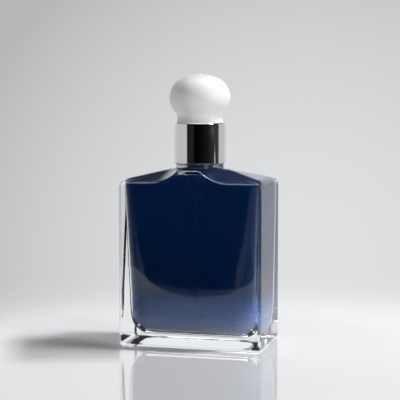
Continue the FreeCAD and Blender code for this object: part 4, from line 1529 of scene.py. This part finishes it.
@dataclass
class Room:
    """The surroundings: a pale backdrop for the camera, and a room with a dark front for mirrored light.

    A turn is in degrees to the right of the camera, a lift in degrees above the horizon, and what is
    across is a direction's part to the right. A span says where a soft edge starts and where it ends.
    """

    sky_turn: float = 175.0
    sky_lift: float = -8.0
    sky_bright: float = 0.745
    sky_fall: float = 8.76e-4
    sky_least: float = 0.47
    glow_left: float = 0.21
    glow_right: float = 0.42
    glow_turn: Span = (-10.0, 5.0)
    glow_lift: Span = (-8.2, -11.0)
    bounce_left: float = 0.9
    bounce_right: float = 0.315
    bounce_across: Span = (-0.1, 0.5)
    bounce_above: float = 0.2
    wall_back: float = 0.68
    wall_side: float = 0.56
    wall_off: Span = (25.0, 60.0)
    wall_high: float = 0.87
    high_lift: Span = (4.0, 7.0)
    flag: float = 0.02
    flag_across: float = -0.105
    flag_wide: Span = (0.06, 0.035)
    flag_lift: float = 11.65
    flag_tall: Span = (0.75, 0.4)
    ceiling: float = 0.08
    ceiling_lift: Span = (16.0, 26.0)
    far_table: float = 0.95
    far_lift: Span = (-7.5, -11.0)
    near_table: float = 0.92
    dark_turn: Span = (-60.0, 91.0)
    dark_edge: float = 1.5
    gleam: float = 0.052
    gleam_power: float = 3.6
    left_gleam: float = 0.015
    left_turn: Span = (-26.0, -29.0)
    left_lift: Span = (-3.7, -3.5)
    strip: float = 0.8
    strip_turn: float = 69.0
    strip_wide: Span = (2.2, 1.2)
    strip_lift: Span = (-2.3, -2.6)
    card_middle: float = -9.36
    card_end: float = -7.9
    card_bend: float = 0.09
    card_swell: float = 0.006
    card_edge: float = 0.04
    panel: float = 5.0
    panel_lift: Span = (56.0, 60.0)
    red_share: Span = (0.985, 0.92)
    blue_share: Span = (1.02, 1.16)

    def build(self) -> None:
        """Lays the scene's world, in which each kind of ray sees its own tones."""
        world = bpy.data.worlds.new("studio")
        world.use_nodes = True
        world.node_tree.nodes.clear()
        bench = Bench(world.node_tree)
        outlook = Outlook(bench)
        seen = self.backdrop(outlook)
        mirrored, table = self.mirrored(outlook)
        rays = bench.add("ShaderNodeLightPath").outputs
        sharp = bench.maths("MAXIMUM", rays["Is Glossy Ray"], rays["Is Transmission Ray"])
        share = bench.ramp(outlook.across, *self.bounce_across, self.bounce_left, self.bounce_right)
        soft = bench.ramp(outlook.lift, *self.ceiling_lift, bench.times(seen, share), self.bounce_above)
        tone = bench.blend(sharp, bench.blend(rays["Is Camera Ray"], soft, seen), mirrored)
        tinted = bench.times(table, sharp)
        colour = bench.add("ShaderNodeCombineColor", {
            "Red": bench.times(tone, bench.blend(tinted, *self.red_share)),
            "Green": tone,
            "Blue": bench.times(tone, bench.blend(tinted, *self.blue_share)),
        })
        light = bench.shader("ShaderNodeBackground", {"Color": colour.outputs["Color"], "Strength": 1.0})
        bench.add("ShaderNodeOutputWorld", {"Surface": light})
        bpy.context.scene.world = world

    def backdrop(self, outlook: Outlook) -> Socket:
        """Lays the pale backdrop with painted shade that dims it away from behind the bottle, and a painted
        glow of the table in front of it that is brighter on the right.

        Args:
            outlook: the direction looked in.

        Returns:
            The tone.
        """
        bench = outlook.bench
        # Painted shade: the backdrop dims with its angle away from behind the bottle.
        off = outlook.off(self.sky_turn, self.sky_lift)
        fall = bench.times(bench.times(off, off), -self.sky_fall)
        wall = bench.maths("MAXIMUM", bench.maths("ADD", fall, self.sky_bright), self.sky_least)
        # Painted light: the table's glow near the horizon, brighter on the right than on the left.
        turn = bench.degrees("ARCSINE", outlook.across)
        glow = bench.ramp(turn, *self.glow_turn, self.glow_left, self.glow_right)
        near = bench.fade(outlook.lift, self.glow_lift)
        return bench.maths("MULTIPLY_ADD", bench.times(near, near), glow, wall)

    def mirrored(self, outlook: Outlook) -> tuple[Socket, Socket]:
        """Lays the room that glass and metal mirror.

        Args:
            outlook: the direction looked in.

        Returns:
            The tone, and the share of the near table in it.
        """
        bench = outlook.bench
        first, last = self.dark_turn
        middle = (first + last) / 2
        half = (last - first) / 2
        turn = outlook.turn(middle)
        card = self.card(outlook, turn)
        front = bench.blend(card, self.near_table, self.dark_front(outlook, turn))
        aside = bench.fade(bench.apart(turn, middle), (half - self.dark_edge, half + self.dark_edge))
        tone = bench.blend(aside, front, self.walls(outlook))
        tone = bench.ramp(outlook.lift, *self.panel_lift, tone, self.panel)
        return tone, bench.times(bench.rest(card), bench.rest(aside))

    def walls(self, outlook: Outlook) -> Socket:
        """Lays the lit walls with their small dark flag, the ceiling and the far table.

        Args:
            outlook: the direction looked in.

        Returns:
            The tone.
        """
        bench = outlook.bench
        lift = outlook.lift
        flag = bench.times(bench.fade(bench.apart(outlook.across, self.flag_across), self.flag_wide),
                           bench.fade(bench.apart(lift, self.flag_lift), self.flag_tall))
        wall = bench.ramp(outlook.off(180.0, 0.0), *self.wall_off, self.wall_back, self.wall_side)
        wall = bench.ramp(lift, *self.high_lift, wall, bench.blend(flag, self.wall_high, self.flag))
        wall = bench.ramp(lift, *self.ceiling_lift, wall, self.ceiling)
        return bench.ramp(lift, *self.far_lift, wall, self.far_table)

    def dark_front(self, outlook: Outlook, turn: Socket) -> Socket:
        """Lays the dark front with its gleam to the right, a faint one on the left and a bright strip.

        Args:
            outlook: the direction looked in.
            turn: its degrees to the right of the camera.

        Returns:
            The tone.
        """
        bench = outlook.bench
        gleam = bench.maths("POWER", bench.fade(turn, self.dark_turn), self.gleam_power)
        left = bench.times(bench.fade(turn, self.left_turn), bench.fade(outlook.lift, self.left_lift))
        strip = bench.times(bench.fade(bench.apart(turn, self.strip_turn), self.strip_wide),
                            bench.fade(outlook.lift, self.strip_lift))
        tone = bench.times(gleam, self.gleam)
        tone = bench.maths("MULTIPLY_ADD", left, self.left_gleam, tone)
        return bench.maths("MULTIPLY_ADD", strip, self.strip, tone)

    def card(self, outlook: Outlook, turn: Socket) -> Socket:
        """Lays the dark card in front, whose rounded lower edge the front face of the glass mirrors.

        Args:
            outlook: the direction looked in.
            turn: its degrees to the right of the camera.

        Returns:
            The share of the card.
        """
        bench = outlook.bench
        aside = bench.maths("ADD", turn, 2 * PHOTO_TURN)
        square = bench.times(aside, aside)
        curve = bench.times(bench.maths("MULTIPLY_ADD", square, self.card_swell, self.card_bend), square)
        edge = bench.maths("MINIMUM", bench.maths("ADD", curve, self.card_middle), self.card_end)
        above = bench.maths("SUBTRACT", outlook.lift, edge)
        return bench.fade(above, (-self.card_edge, self.card_edge))


@dataclass
class Studio:
    """Table top, surroundings, lamps and camera."""

    distance: float = 0.5408
    height: float = 0.1095
    pitch: float = 4.68
    focal_px: float = 1194.2
    sensor: float = 36.0
    nearest: float = 0.01
    farthest: float = 50.0
    table_half: float = 0.5
    table_cells: int = 8
    lamps: tuple[Lamp, ...] = (TOP_PANEL, SIDE_PANEL)

    def build(self) -> None:
        """Sets the whole stage."""
        self.table()
        Room().build()
        for lamp in self.lamps:
            lamp.hang()
        self.camera()
        bpy.context.scene.view_settings.view_transform = "Standard"

    def table(self) -> None:
        """Lays the table top as a grid."""
        sheet = bmesh.new()
        cells = self.table_cells
        bmesh.ops.create_grid(sheet, x_segments=cells, y_segments=cells, size=self.table_half)
        mesh = bpy.data.meshes.new("table_top")
        sheet.to_mesh(mesh)
        sheet.free()
        mesh.materials.append(PALE_FLOOR.material())
        plain_object("table_top", mesh)

    def camera(self) -> None:
        """Sets the camera where the photograph was taken from."""
        data = bpy.data.cameras.new("photo_camera")
        data.sensor_width = self.sensor
        data.lens = self.focal_px / PHOTO_SIDE * self.sensor
        data.clip_start = self.nearest
        data.clip_end = self.farthest
        eye = bpy.data.objects.new("photo_camera", data)
        eye.location = towards(0.0, 0.0) * self.distance + UP * self.height
        eye.rotation_euler = (-towards(0.0, self.pitch)).to_track_quat("-Z", "Y").to_euler()
        bpy.context.scene.collection.objects.link(eye)
        bpy.context.scene.camera = eye


def main() -> None:
    """Builds the sub-assemblies in order."""
    logging.basicConfig(level=logging.INFO, format="%(name)s: %(message)s")
    shop = Workshop()
    flacon = Flacon()
    flacon.build()
    Pump().build(shop)
    collar = Collar(flacon.step_top)
    collar.build(shop)
    SprayButton().build()
    Knob(collar.top).build(shop)
    Studio().build()


if __name__ == "__main__":
    main()
